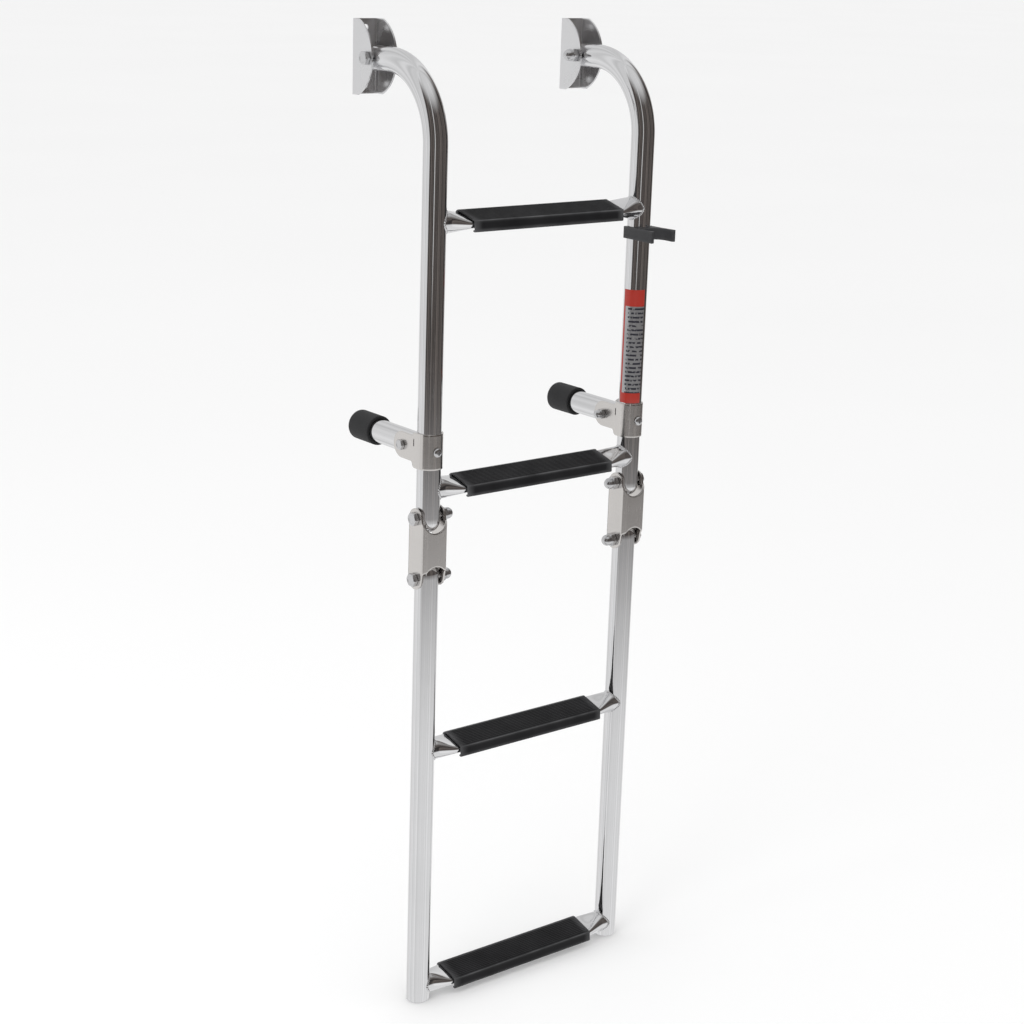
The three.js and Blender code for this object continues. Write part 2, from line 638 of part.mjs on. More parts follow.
// Pan-head cross-recess screw, pointing along +Y, its head's seat at the origin.
function lockScrew() {
  const r = LOCK_SCREW_HEAD_D / 2;
  const profile = [
    new THREE.Vector2(0, LOCK_SCREW_LENGTH),
    new THREE.Vector2(LOCK_SCREW_D / 2, LOCK_SCREW_LENGTH),
    new THREE.Vector2(LOCK_SCREW_D / 2, 0),
    new THREE.Vector2(r, 0),
    ...LOCK_SCREW_CROWN.map(([out, up]) => new THREE.Vector2(r * out, -LOCK_SCREW_HEAD * up)),
  ];
  let body = solid(new THREE.LatheGeometry(profile.reverse(), SMALL_SEGMENTS));
  const arm = LOCK_SCREW_RECESS_REACH;
  const blade = LOCK_SCREW_RECESS_HALF_WIDTH;
  const top = -LOCK_SCREW_HEAD - PAST;
  const floor = -LOCK_SCREW_HEAD + LOCK_SCREW_RECESS;
  body = body.subtract(box(-arm, arm, top, floor, -blade, blade));
  return body.subtract(box(-blade, blade, top, floor, -arm, arm));
}

// ---------------------------------------------------------------- clip and label

// Storage clip: its rear jaw grips the right rail and its front jaw takes the folded
// lower rail. The rail centre line is the origin.
function storageClip() {
  const bridgeBack = -RAIL_R - GAP;
  const bridgeFront = bridgeBack - CLIP_BRIDGE;
  const tip = bridgeFront - CLIP_JAW_DEPTH;
  const half = CLIP_HEIGHT / 2;
  const outline = new THREE.Shape();
  const w = RAIL_R + GAP + CLIP_WALL;
  const flare = w + CLIP_TIP_FLARE;
  const back = RAIL_R - CLIP_BACK_SETBACK;
  outline.moveTo(-flare, tip + CLIP_TIP_CHAMFER);
  outline.lineTo(-flare + CLIP_TIP_CHAMFER, tip);
  outline.lineTo(flare - CLIP_TIP_CHAMFER, tip);
  outline.lineTo(flare, tip + CLIP_TIP_CHAMFER);
  outline.lineTo(w, -RAIL_R);
  outline.lineTo(w, back - CLIP_TIP_CHAMFER);
  outline.lineTo(w - CLIP_TIP_CHAMFER, back);
  outline.lineTo(-w + CLIP_TIP_CHAMFER, back);
  outline.lineTo(-w, back - CLIP_TIP_CHAMFER);
  outline.lineTo(-w, -RAIL_R);
  outline.closePath();
  const jaw = new THREE.Shape();
  const jawHalf = RAIL_R + CLIP_JAW_CLEARANCE;
  const hookHalf = jawHalf - CLIP_HOOK_INSET;
  const jawCentre = bridgeFront - jawHalf;
  const hookStart = tip + CLIP_HOOK;
  jaw.moveTo(-hookHalf, tip - PAST);
  jaw.lineTo(hookHalf, tip - PAST);
  jaw.lineTo(hookHalf, hookStart);
  jaw.lineTo(jawHalf, hookStart + CLIP_HOOK_RUN);
  jaw.lineTo(jawHalf, jawCentre);
  jaw.absarc(0, jawCentre, jawHalf, 0, Math.PI, false);
  jaw.lineTo(-jawHalf, hookStart + CLIP_HOOK_RUN);
  jaw.lineTo(-hookHalf, hookStart);
  jaw.closePath();
  const body = raise(outline, -half, half).subtract(raise(jaw, -half - PAST, half + PAST, 16));
  return body.subtract(rod('z', RAIL_R + GAP, -half - PAST, half + PAST));
}

// Plain banded sticker wrapped round the front and inner side of the right rail.
function label() {
  const inner = RAIL_R + GAP;
  const start = LABEL_BEARING - LABEL_SPAN / 2;
  const end = LABEL_BEARING + LABEL_SPAN / 2;
  const shape = new THREE.Shape();
  shape.absarc(0, 0, inner + LABEL_THICKNESS, start, end, false);
  shape.absarc(0, 0, inner, end, start, true);
  shape.closePath();
  return raise(shape, -LABEL_HEIGHT, 0, 12);
}

// ---------------------------------------------------------------- assembly

const brackets = new THREE.Group();
const upperSection = new THREE.Group();
const lowerSection = new THREE.Group();
upperSection.position.set(0, RAIL_Y, 0);
lowerSection.position.set(0, RAIL_Y, 0);
ladder.add(brackets, upperSection, lowerSection);

const SIDES = [
  { name: 'left', x: LEFT, turn: 0 },
  { name: 'right', x: RIGHT, turn: Math.PI },
];

function addBolt(parent, name, side, y, z, bolt) {
  const { diameter, hex, head, cheekOuter, nutDepth } = bolt;
  const bodies = [
    ['bolt', hexBolt(diameter, hex, head, cheekOuter, nutDepth)],
    ['nut', acornNut(diameter, hex, cheekOuter, nutDepth)],
  ];
  for (const [kind, body] of bodies) {
    const mesh = addMesh(parent, `${side.name}_${name}_${kind}`, body, 'fastener', side.x, y, z);
    mesh.rotation.z = side.turn;
  }
}

const pivotBolt = {
  diameter: PIVOT_BOLT_D,
  hex: PIVOT_BOLT_HEX,
  head: PIVOT_BOLT_HEAD,
  nutDepth: PIVOT_NUT_BORE_DEPTH,
};
const bracketBolt = { ...pivotBolt, cheekOuter: BRACKET_OUTER };
const linkBolt = { ...pivotBolt, cheekOuter: LINK_OUTER };
const standoffBolt = {
  diameter: STANDOFF_BOLT_D,
  hex: STANDOFF_BOLT_HEX,
  head: STANDOFF_BOLT_HEAD,
  cheekOuter: CLAMP_OUTER,
  nutDepth: STANDOFF_NUT_BORE_DEPTH,
};

for (const side of SIDES) {
  const own = (piece) => `${side.name}_${piece}`;
  addMesh(brackets, own('bracket'), bracket(), 'polished', side.x);
  addBolt(brackets, 'bracket', side, -BRACKET_PIVOT_DEPTH, 0, bracketBolt);

  addMesh(upperSection, own('upper_rail'), upperRail(), 'polished', side.x);
  addMesh(upperSection, own('upper_rail_plug'), hingePlug(), 'satin', side.x, 0, -HINGE_DROP);
  addMesh(upperSection, own('standoff_clamp'), clamp(), 'satin', side.x, 0, -CLAMP_DROP);
  const screwSeat = -CLAMP_OUTER - GAP;
  const pivotZ = STANDOFF_RISE - CLAMP_DROP;
  addMesh(upperSection, own('clamp_screw'), lockScrew(), 'fastener', side.x, screwSeat, -CLAMP_DROP);
  addBolt(upperSection, 'standoff', side, STANDOFF_PIVOT, pivotZ, standoffBolt);
  const pivot = [side.x, STANDOFF_PIVOT, pivotZ];
  addMesh(upperSection, own('standoff'), standoffTube(), 'polished', ...pivot);
  addMesh(upperSection, own('standoff_cap'), standoffCap(), 'rubber', ...pivot);

  addMesh(upperSection, own('hinge_link'), hingeLink(), 'satin', side.x, 0, -HINGE_DROP);
  addBolt(upperSection, 'upper_hinge', side, 0, -HINGE_DROP, linkBolt);
  addBolt(upperSection, 'lower_hinge', side, 0, LOWER_HINGE_Z, linkBolt);

  addMesh(lowerSection, own('lower_rail'), lowerRail(), 'polished', side.x);
  const plugPlace = [side.x, 0, LOWER_HINGE_Z];
  const plug = addMesh(lowerSection, own('lower_rail_plug'), hingePlug(), 'satin', ...plugPlace);
  plug.rotation.x = Math.PI;
  addMesh(lowerSection, own('foot_plug'), footPlug(), 'satin', side.x);
}

const stepHeights = [
  ...STEP_DROPS.map((drop) => -drop),
  ...LOWER_STEP_DROPS.map((drop) => LOWER_HINGE_Z - drop),
];
stepHeights.forEach((z, index) => {
  const section = index < STEP_DROPS.length ? upperSection : lowerSection;
  const number = index + 1;
  addMesh(section, `step_tube_${number}`, stepTube(), 'polished', 0, 0, z);
  const tread = carry(treadOutline(), -TREAD_LENGTH / 2, TREAD_LENGTH / 2, 8);
  const mesh = addMesh(section, `tread_${number}`, tread, 'tread', 0, 0, z);
  mesh.rotation.x = STEP_TILT;
});

addMesh(upperSection, 'storage_clip', storageClip(), 'clip', RIGHT, 0, -CLIP_DROP);
addMesh(upperSection, 'rail_label', label(), 'label', RIGHT, 0, -LABEL_TOP_DROP);

export default ladder;
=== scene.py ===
"""Finished surfaces and stage for a folding boat boarding ladder, laid out as an add-on.

Every surface is a function of two parameters worked out as whole arrays: rings carried
along a path, an outline carried along an axis, or a sheet folded along a plan line.
All lengths are in metres. X runs along the steps, Y towards the boat and Z up.
"""

import math

import bpy
import numpy as np
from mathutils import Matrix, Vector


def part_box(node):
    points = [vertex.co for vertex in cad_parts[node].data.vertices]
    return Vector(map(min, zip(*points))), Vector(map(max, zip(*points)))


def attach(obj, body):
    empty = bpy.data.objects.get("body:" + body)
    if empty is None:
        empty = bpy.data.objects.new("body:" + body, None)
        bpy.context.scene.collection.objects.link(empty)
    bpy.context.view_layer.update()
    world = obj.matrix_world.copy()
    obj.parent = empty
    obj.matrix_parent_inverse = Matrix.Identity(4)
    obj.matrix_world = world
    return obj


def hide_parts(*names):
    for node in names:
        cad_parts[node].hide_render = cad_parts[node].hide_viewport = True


bl_info = {
    "name": "Boarding ladder finish",
    "version": (1, 0, 0),
    "blender": (4, 5, 0),
    "location": "3D View > Sidebar > Ladder",
    "description": "Tubes, steps, hinges and stage of a folding boarding ladder",
    "category": "Object",
}

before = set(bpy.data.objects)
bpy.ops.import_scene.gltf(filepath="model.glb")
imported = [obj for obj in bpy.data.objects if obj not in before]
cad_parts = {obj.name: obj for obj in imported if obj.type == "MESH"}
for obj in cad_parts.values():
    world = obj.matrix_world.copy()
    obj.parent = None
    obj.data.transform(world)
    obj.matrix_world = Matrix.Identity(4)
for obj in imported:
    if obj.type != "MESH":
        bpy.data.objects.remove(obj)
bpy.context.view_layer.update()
SIDES = ("left", "right")
MM = 0.001


# ---------------------------------------------------------------- places in the frame


def span(node):
    """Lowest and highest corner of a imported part, as arrays."""
    low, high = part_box(node)
    return np.array(low, float), np.array(high, float)


def middle(node):
    """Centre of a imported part's box."""
    low, high = span(node)
    return (low + high) / 2


RAIL_LOW, RAIL_HIGH = span("left_lower_rail")
RAIL_R = (RAIL_HIGH[0] - RAIL_LOW[0]) / 2
RAIL_Y = (RAIL_HIGH[1] + RAIL_LOW[1]) / 2
RAIL_X = {side: middle(f"{side}_lower_rail")[0] for side in SIDES}
FOOT_Z = RAIL_LOW[2]
UPPER_HINGE_Z = middle("left_upper_hinge_bolt")[2]
LOWER_HINGE_Z = middle("left_lower_hinge_bolt")[2]
PIVOT = middle("left_bracket_bolt")


# ---------------------------------------------------------------- settings


def distance(name, default, description):
    """A length setting, shown in the scene's units."""
    return bpy.props.FloatProperty(
        name=name,
        default=default,
        description=description,
        min=0.0,
        precision=4,
        subtype="DISTANCE",
        unit="LENGTH",
    )


def colour(name, default, description):
    """A colour setting, in linear light."""
    return bpy.props.FloatVectorProperty(
        name=name,
        default=default,
        description=description,
        size=3,
        min=0.0,
        max=1.0,
        subtype="COLOR",
    )


def factor(name, default, description):
    """A share from 0 to 1."""
    return bpy.props.FloatProperty(
        name=name, default=default, description=description, min=0.0, max=1.0, subtype="FACTOR"
    )


def tilt(name, default, description):
    """An angle setting, whose default is given in degrees."""
    return bpy.props.FloatProperty(
        name=name, default=math.radians(default), description=description, subtype="ANGLE"
    )


class LadderSizes(bpy.types.PropertyGroup):
    """Sizes of the finished surfaces that the frame's boxes don't give."""

    bend_radius: distance("Top bend", 80 * MM, "Centre-line radius of the rail's top bend")
    tube_wall: distance("Tube wall", 1.4 * MM, "Wall of the rails and stand-offs")
    dome_start: distance("Dome start", 5 * MM, "How far a hinged rail end runs straight past its bolt")
    dome_depth: distance("Dome depth", 12 * MM, "Depth of a hinged rail's rounded end")
    weld_bead: distance("Weld bead", 1.1 * MM, "Radius of the weld bead round each step end")
    rib_pitch: distance("Rib pitch", 2.5 * MM, "Spacing of the ribs along a tread")
    rib_depth: distance("Rib depth", 0.4 * MM, "Depth of the grooves between the ribs")
    rib_count: bpy.props.IntProperty(
        name="Ribs", default=11, min=1, max=20, description="Grooves along the top of a tread"
    )
    tube_sides: bpy.props.IntProperty(
        name="Tube sides", default=96, min=16, max=256, description="Faces round a tube"
    )


class LadderFinishes(bpy.types.PropertyGroup):
    """Colours and gloss of the ladder's materials."""

    polished: colour("Polished steel", (0.80, 0.80, 0.81), "Mirror-polished rails, steps and brackets")
    polished_roughness: factor("Polish", 0.07, "Roughness of the polished steel")
    satin: colour("Satin steel", (0.72, 0.695, 0.675), "Pressed hinge links and stand-off clamps")
    satin_roughness: factor("Satin", 0.2, "Roughness of the pressed sheet")
    bolt: colour("Bolts", (0.66, 0.66, 0.67), "Bolts, nuts and screws")
    bolt_roughness: factor("Bolt polish", 0.2, "Roughness of bolts, nuts and screws")
    plug: colour("Foot plugs", (0.62, 0.62, 0.62), "Discs that close the rail feet")
    tread: colour("Treads", (0.008, 0.008, 0.009), "Moulded tread covers")
    # Lighter edge colour of the treads: painted highlight lines along the nose, the lip's foot and the ends,
    # with scuffs on the rib tops.
    tread_wear: colour("Worn and highlighted edges", (0.13, 0.13, 0.134), "Lighter plastic and painted highlights on the treads' edges")
    rubber: colour("Rubber", (0.016, 0.016, 0.017), "Stand-off caps")
    clip: colour("Clip", (0.022, 0.022, 0.024), "Moulded storage clip")
    label_band: colour("Sticker bands", (0.36, 0.02, 0.01), "Top and bottom bands of the sticker")
    label_film: colour("Sticker film", (0.44, 0.44, 0.45), "Silvered middle of the sticker")
    label_rule: colour("Sticker rules", (0.02, 0.02, 0.03), "Printed dashes on the sticker")


class LadderStage(bpy.types.PropertyGroup):
    """The camera's place and the studio's light."""

    azimuth: tilt("Azimuth", -38.8, "Camera's turn round the ladder, 0 looking along +Y")
    elevation: tilt("Elevation", 15.9, "Camera's tilt down towards the ladder")
    roll: tilt("Roll", 1.9, "Camera's turn about its own axis")
    place: bpy.props.FloatVectorProperty(
        name="Camera place",
        default=(-1.3562, -1.7826, 0.1292),
        description="Camera position in the ladder's frame",
        size=3,
        subtype="TRANSLATION",
        unit="LENGTH",
    )
    lens: bpy.props.FloatProperty(
        name="Lens", default=71.71, description="Focal length in millimetres", min=1.0
    )
    backdrop: colour("Backdrop", (0.96, 0.96, 0.96), "Pale wall behind the ladder")
    floor: colour("Floor", (0.93, 0.93, 0.93), "Pale floor under the ladder")


# ---------------------------------------------------------------- surfaces


def round_angles(steps):
    """Evenly spaced angles once round a circle."""
    return 2 * math.pi * np.arange(steps) / steps


def round_lengths(steps, radius):
    """Distance round a circle at each of its angles, and at the first one again."""
    return np.linspace(0, 2 * math.pi, steps + 1) * radius


def travelled(*coordinates):
    """Distance run along a line at each of its points, from its coordinates."""
    steps = np.diff(np.stack(coordinates, -1), axis=0)
    return np.concatenate([[0.0], np.cumsum(np.linalg.norm(steps, axis=1))])


def build_mesh(name, points, faces, corner_uv, wear, crease):
    """A closed mesh object from points, faces and one UV pair per face corner.

    The signed volume, a sixth of the sum of a.(b x c) over the triangles of every face,
    tells whether the faces point outwards; when it is negative they are all turned over.
    """
    points = np.asarray(points, float)
    volume = 0.0
    for face_set in faces:
        if len(face_set) == 0:
            continue
        corners = points[face_set]
        for k in range(1, face_set.shape[1] - 1):
            turned_area = np.cross(corners[:, k], corners[:, k + 1])
            volume += float(np.einsum("ij,ij->", corners[:, 0], turned_area))
    if volume < 0:
        faces = [face_set[:, ::-1] for face_set in faces]
        corner_uv = [uv[:, ::-1] for uv in corner_uv]
    polygons = [row for face_set in faces for row in face_set.tolist()]
    mesh = bpy.data.meshes.new(name)
    mesh.from_pydata(points.tolist(), [], polygons)
    layer = mesh.uv_layers.new(name="UVMap")
    flat = np.concatenate([uv.reshape(-1, 2) for uv in corner_uv if len(uv)])
    layer.data.foreach_set("uv", flat.astype(np.float32).ravel())
    # Per-point share of the lighter edge colour, scuffs and painted highlight together, kept as an attribute.
    if wear is not None:
        attribute = mesh.attributes.new("wear", "FLOAT", "POINT")
        attribute.data.foreach_set("value", np.asarray(wear, np.float32).ravel())
    mesh.shade_smooth()
    mesh.set_sharp_from_angle(angle=math.radians(crease))
    if mesh.validate(verbose=False):
        raise RuntimeError(f"{name}: the mesh needed repair")
    obj = bpy.data.objects.new(name, mesh)
    bpy.context.scene.collection.objects.link(obj)
    return obj


def grid(
    name, points, along, around, wrap_rows=False, poles=(None, None), caps=False,
    windows=(), partner=None, wear=None, crease=35.0,
):
    """Closed surface over a (rows, columns, 3) array whose columns join up in a ring.

    Cell (i, j) is the quad between rows i, i + 1 and columns j, j + 1. Rows join up too
    where wrap_rows is set. A pole closes an end with a fan; caps close it with one face.
    A window (i0, i1, j0, j1) leaves out its cells and those of the partner columns on the
    sheet's other side, and a band of quads joins the two rims.
    The UV of a corner is (around[j], along[i]), both in metres.
    """
    rows, columns = points.shape[:2]
    index = np.arange(rows * columns).reshape(rows, columns)
    lower = index if wrap_rows else index[:-1]
    upper = np.roll(index, -1, 0) if wrap_rows else index[1:]
    quads = np.stack([lower, np.roll(lower, -1, 1), np.roll(upper, -1, 1), upper], -1)
    u, v = np.meshgrid(around, along)
    corners = [(u[:-1, :-1], v[:-1, :-1]), (u[:-1, 1:], v[:-1, 1:])]
    corners += [(u[1:, 1:], v[1:, 1:]), (u[1:, :-1], v[1:, :-1])]
    quad_uv = np.stack([np.stack(corner, -1) for corner in corners], -2)
    kept = np.ones(quads.shape[:2], bool)
    faces, uvs = [], []
    for i0, i1, j0, j1 in windows:
        kept[i0:i1, j0:j1] = False
        kept[i0:i1, partner[j1] : partner[j0]] = False
        down, across = np.arange(i0, i1), np.arange(j0, j1)
        rim_i = np.concatenate([np.full(j1 - j0, i0), down, np.full(j1 - j0, i1), down[::-1] + 1])
        rim_j = np.concatenate([across, np.full(i1 - i0, j1), across[::-1] + 1, np.full(i1 - i0, j0)])
        outer, inner = index[rim_i, rim_j], index[rim_i, partner[rim_j]]
        faces.append(np.stack([outer, np.roll(outer, -1), np.roll(inner, -1), inner], -1))
        uvs.append(np.stack([np.stack([around[rim_j], along[rim_i]], -1)] * 4, -2))
    faces.insert(0, quads[kept])
    uvs.insert(0, quad_uv[kept])
    flat = points.reshape(-1, 3)
    for end, pole in enumerate(poles):
        if pole is None:
            continue
        ring = index[-1 if end else 0]
        level = np.full(columns, along[-1 if end else 0])
        fan = np.stack([np.roll(ring, -1), ring, np.full(columns, len(flat))], -1)
        reach = [around[1:], around[:-1], (around[1:] + around[:-1]) / 2]
        fan_uv = np.stack([np.stack([part, level], -1) for part in reach], -2)
        faces.append(fan[:, ::-1] if end else fan)
        uvs.append(fan_uv[:, ::-1] if end else fan_uv)
        flat = np.vstack([flat, np.asarray(pole, float)])
        if wear is not None:
            wear = np.append(np.asarray(wear).ravel(), 0.0)
    for end in (0, 1) if caps else ():
        ring = index[-1 if end else 0]
        cap_uv = np.stack([around[:-1], np.full(columns, along[-1 if end else 0])], -1)
        faces.append((ring if end else ring[::-1])[None])
        uvs.append((cap_uv if end else cap_uv[::-1])[None])
    return build_mesh(name, flat, faces, uvs, wear=wear, crease=crease)


def side_vectors(forward):
    """Two unit vectors square to forward and to each other."""
    helper = np.array([0.0, 0.0, 1.0]) if abs(forward[2]) < 0.9 else np.array([1.0, 0.0, 0.0])
    first = np.cross(forward, helper)
    first /= np.linalg.norm(first)
    return first, np.cross(forward, first)


def turned(name, centre, forward, s, radius, steps, closed=False, **more):
    """Turned piece: ring k lies s[k] along the axis from centre.

    A ring point is centre + s forward + r (cos a side + sin a up), where the radius r
    may change with the angle a. Unless the profile closes on itself, each end runs in
    to a pole on the axis.
    """
    s = np.asarray(s, float)
    forward = np.asarray(forward, float)
    side, up = side_vectors(forward)
    angle = round_angles(steps)
    radius = np.asarray(radius, float)
    radius = np.broadcast_to(radius.reshape(len(s), -1), (len(s), steps))
    ring = np.cos(angle)[:, None] * side + np.sin(angle)[:, None] * up
    points = centre + s[:, None, None] * forward + radius[..., None] * ring
    along = travelled(s, radius[:, 0])
    if closed:
        along = np.append(along, along[-1] + MM)
    around = round_lengths(steps, radius.max())
    poles = (None, None) if closed else (centre + s[0] * forward, centre + s[-1] * forward)
    return grid(name, points, along, around, wrap_rows=closed, poles=poles, **more)


def outline_normals(outline):
    """Outward normals of a closed outline: the mean of the two edges that meet at a point."""
    ahead = np.roll(outline, -1, 0)
    edge = ahead - outline
    normal = np.stack([edge[:, 1], -edge[:, 0]], -1)
    normal /= np.maximum(np.linalg.norm(normal, axis=1, keepdims=True), 1e-12)
    mean = normal + np.roll(normal, 1, 0)
    mean /= np.maximum(np.linalg.norm(mean, axis=1, keepdims=True), 1e-12)
    area = np.sum(outline[:, 0] * ahead[:, 1] - outline[:, 1] * ahead[:, 0])
    return mean * np.sign(area)


def rounded_ends(low, high, radius, inner=2):
    """Stations from low to high and the inset at each, for a quarter-round at both ends."""
    a = np.linspace(0, math.pi / 2, 4)
    rise, inset = radius * (1 - np.cos(a)), radius * (1 - np.sin(a))
    body = np.linspace(low + radius, high - radius, inner)[1:-1]
    stations = np.concatenate([low + rise, body, (high - rise)[::-1]])
    return stations, np.concatenate([inset, np.zeros(len(body)), inset[::-1]])


def carried(name, outline, stations, inset, place, **more):
    """Outline carried along an axis: a point is place(outline - inset normal, station).

    The inset pulls the outline in at the ends, which rounds their edges.
    """
    drawn = outline[None] - np.asarray(inset)[:, None, None] * outline_normals(outline)[None]
    points = place(drawn, np.asarray(stations, float)[:, None])
    around = travelled(*np.vstack([outline, outline[:1]]).T)
    return grid(name, points, np.asarray(stations, float), around, caps=True, **more)


def folded_sheet(name, origin, plan, top, bottom, thickness, edge, levels, windows=(), warp=None, **more):
    """Pressed sheet that follows a plan line, with its own top and bottom at each point.

    Each station's section is a rounded rectangle in the plane of the plan's normal and Z:
    half thickness off the line on each side, from bottom to top, with quarter-rounds of
    radius edge. levels, from 0 to 1, are the shares of the height where lines run. Three
    more stations round off each end. warp, where given, moves the flat sides' points.
    """
    plan, top, bottom = (np.array(part, float) for part in (plan, top, bottom))
    tangent = np.gradient(plan, axis=0)
    tangent /= np.linalg.norm(tangent, axis=1, keepdims=True)
    lead, tail = tangent[0], tangent[-1]
    plan[0] += lead * edge
    plan[-1] -= tail * edge
    turn = np.linspace(0, math.pi / 2, 4)[1:]
    ahead, inset = edge * np.sin(turn)[:, None], edge * (1 - np.cos(turn))
    plan = np.vstack([plan[0] - lead * ahead[::-1], plan, plan[-1] + tail * ahead])
    tangent = np.vstack([[lead] * 3, tangent, [tail] * 3])
    pulled = np.concatenate([inset[::-1], np.zeros(len(top)), inset])
    top = np.concatenate([[top[0]] * 3, top, [top[-1]] * 3]) - pulled
    bottom = np.concatenate([[bottom[0]] * 3, bottom, [bottom[-1]] * 3]) + pulled
    half = (thickness / 2 - pulled)[:, None]
    normal = np.stack([tangent[:, 1], -tangent[:, 0]], -1)
    middle_level = (top + bottom) / 2
    height = np.maximum(top - bottom, 0.02 * MM)
    top, bottom = (middle_level + height / 2)[:, None], (middle_level - height / 2)[:, None]
    r = np.minimum(edge, height / 2.01)[:, None]
    flank = bottom + r + levels * (top - bottom - 2 * r)
    if warp is not None:
        shift, flank = warp(plan, flank)
    else:
        shift = np.zeros(flank.shape)
    arc = np.linspace(0, math.pi / 2, 4)
    out, rise = np.cos(arc), np.sin(arc)
    none = np.zeros((len(plan), 3))
    side = np.broadcast_to(half, flank.shape)
    offset = [side, half - r + r * out[1:], -(half - r + r * out[::-1][:-1]), -side]
    offset += [-(half - r + r * out[1:]), half - r + r * out[::-1][:-1]]
    level = [flank, top - r + r * rise[1:], top - r + r * rise[::-1][:-1], flank[:, ::-1]]
    level += [bottom + r - r * rise[1:], bottom + r - r * rise[::-1][:-1]]
    travel_shift = np.hstack([shift, none, none, shift[:, ::-1], none, none])
    offset, level = np.hstack(offset), np.hstack(level)
    ground = plan[:, None, :] + offset[..., None] * normal[:, None, :]
    ground = ground + travel_shift[..., None] * tangent[:, None, :]
    points = np.concatenate([ground, level[..., None]], -1) + np.asarray(origin, float)
    count = len(levels)
    partner = np.arange(level.shape[1])
    partner[:count] = count + 6 + np.arange(count)[::-1]
    travel = travelled(*plan.T)
    around = travelled(offset[len(plan) // 2], level[len(plan) // 2])
    around = np.append(around, around[-1] + edge)
    rims = [(i0 + 3, i1 + 3, j0, j1) for i0, i1, j0, j1 in windows]
    return grid(name, points, travel, around, caps=True, windows=rims, partner=partner, **more)


def arc_points(centre, radius, start, end, count):
    """Points of a circular arc in the plane, from angle start to end."""
    a = np.linspace(start, end, count)
    return np.stack([centre[0] + radius * np.cos(a), centre[1] + radius * np.sin(a)], -1)


def hexagon(steps, flats):
    """Radius at each of evenly spaced angles of a hexagon that measures flats across."""
    twelfth = math.pi / 6
    return (flats / 2) / np.cos((round_angles(steps) + twelfth) % (2 * twelfth) - twelfth)


# ---------------------------------------------------------------- materials


def node(tree, kind, values=None, **settings):
    """Adds a shader node; a value that is a socket is linked, any other is set."""
    made = tree.nodes.new(kind)
    for key, value in settings.items():
        setattr(made, key, value)
    for key, value in (values or {}).items():
        if isinstance(value, bpy.types.NodeSocket):
            tree.links.new(value, made.inputs[key])
        else:
            made.inputs[key].default_value = value
    return made


def new_material(name):
    """An empty node material with its output and principled shader."""
    made = bpy.data.materials.new(name)
    made.use_nodes = True
    tree = made.node_tree
    tree.nodes.clear()
    shader = node(tree, "ShaderNodeBsdfPrincipled")
    output = node(tree, "ShaderNodeOutputMaterial")
    tree.links.new(shader.outputs[0], output.inputs[0])
    return made, tree, shader


def noise(tree, vector, scale, detail, stretch=None):
    """Noise over a vector, drawn out along an axis where stretch is given."""
    if stretch is not None:
        mapped = node(tree, "ShaderNodeMapping", {"Vector": vector, "Scale": stretch})
        vector = mapped.outputs[0]
    made = node(tree, "ShaderNodeTexNoise", {"Vector": vector, "Scale": scale, "Detail": detail})
    return made.outputs["Fac"]


def spread(tree, value, low, high, start=0.3, end=0.7):
    """Maps a noise value between start and end to the range from low to high."""
    made = node(
        tree,
        "ShaderNodeMapRange",
        {"Value": value, "From Min": start, "From Max": end, "To Min": low, "To Max": high},
    )
    return made.outputs[0]


def blend_colours(tree, share, first, second):
    """Colour between two, by a share."""
    ends = [end if isinstance(end, bpy.types.NodeSocket) else (*end, 1.0) for end in (first, second)]
    return node(tree, "ShaderNodeMix", {0: share, 6: ends[0], 7: ends[1]}, data_type="RGBA").outputs[2]


def bump(tree, height, strength, depth):
    """Bump of a given depth in metres."""
    values = {"Height": height, "Strength": strength, "Distance": depth}
    return node(tree, "ShaderNodeBump", values).outputs[0]


def arithmetic(tree):
    """A function that adds a sum, a product or another operation to a node tree."""

    def work_out(operation, first, second=0.0):
        return node(tree, "ShaderNodeMath", {0: first, 1: second}, operation=operation).outputs[0]

    return work_out


def shine(tree, shader, tone, rough, height):
    """Links a colour, a roughness and a bump to a principled shader."""
    for key, value in (("Base Color", tone), ("Roughness", rough), ("Normal", height)):
        tree.links.new(value, shader.inputs[key])


def steel(name, base, roughness, grain, grain_depth):
    """Steel with fine lines along the piece, soft smears and a few light scratches."""
    made, tree, shader = new_material(name)
    uv = node(tree, "ShaderNodeUVMap", uv_map="UVMap").outputs[0]
    place = node(tree, "ShaderNodeTexCoord").outputs["Object"]
    lines = noise(tree, uv, 1.0, 3.0, stretch=grain)
    smears = noise(tree, place, 14.0, 4.0)
    scratch = noise(tree, place, 1.0, 1.0, stretch=(900.0, 900.0, 40.0))
    marks = spread(tree, scratch, 0.0, 1.0, 0.68, 0.74)
    base = np.array(base)
    tone = blend_colours(tree, spread(tree, smears, 0.0, 1.0), tuple(base * 0.93), tuple(base))
    tone = blend_colours(tree, spread(tree, lines, 0.0, 0.25), tone, tuple(base * 0.86))
    smooth = spread(tree, smears, roughness * 0.75, roughness * 1.3)
    rough = arithmetic(tree)("ADD", smooth, spread(tree, marks, 0.0, 0.08, 0.0, 1.0))
    shader.inputs["Metallic"].default_value = 1.0
    shine(tree, shader, tone, rough, bump(tree, lines, 0.35, grain_depth))
    return made


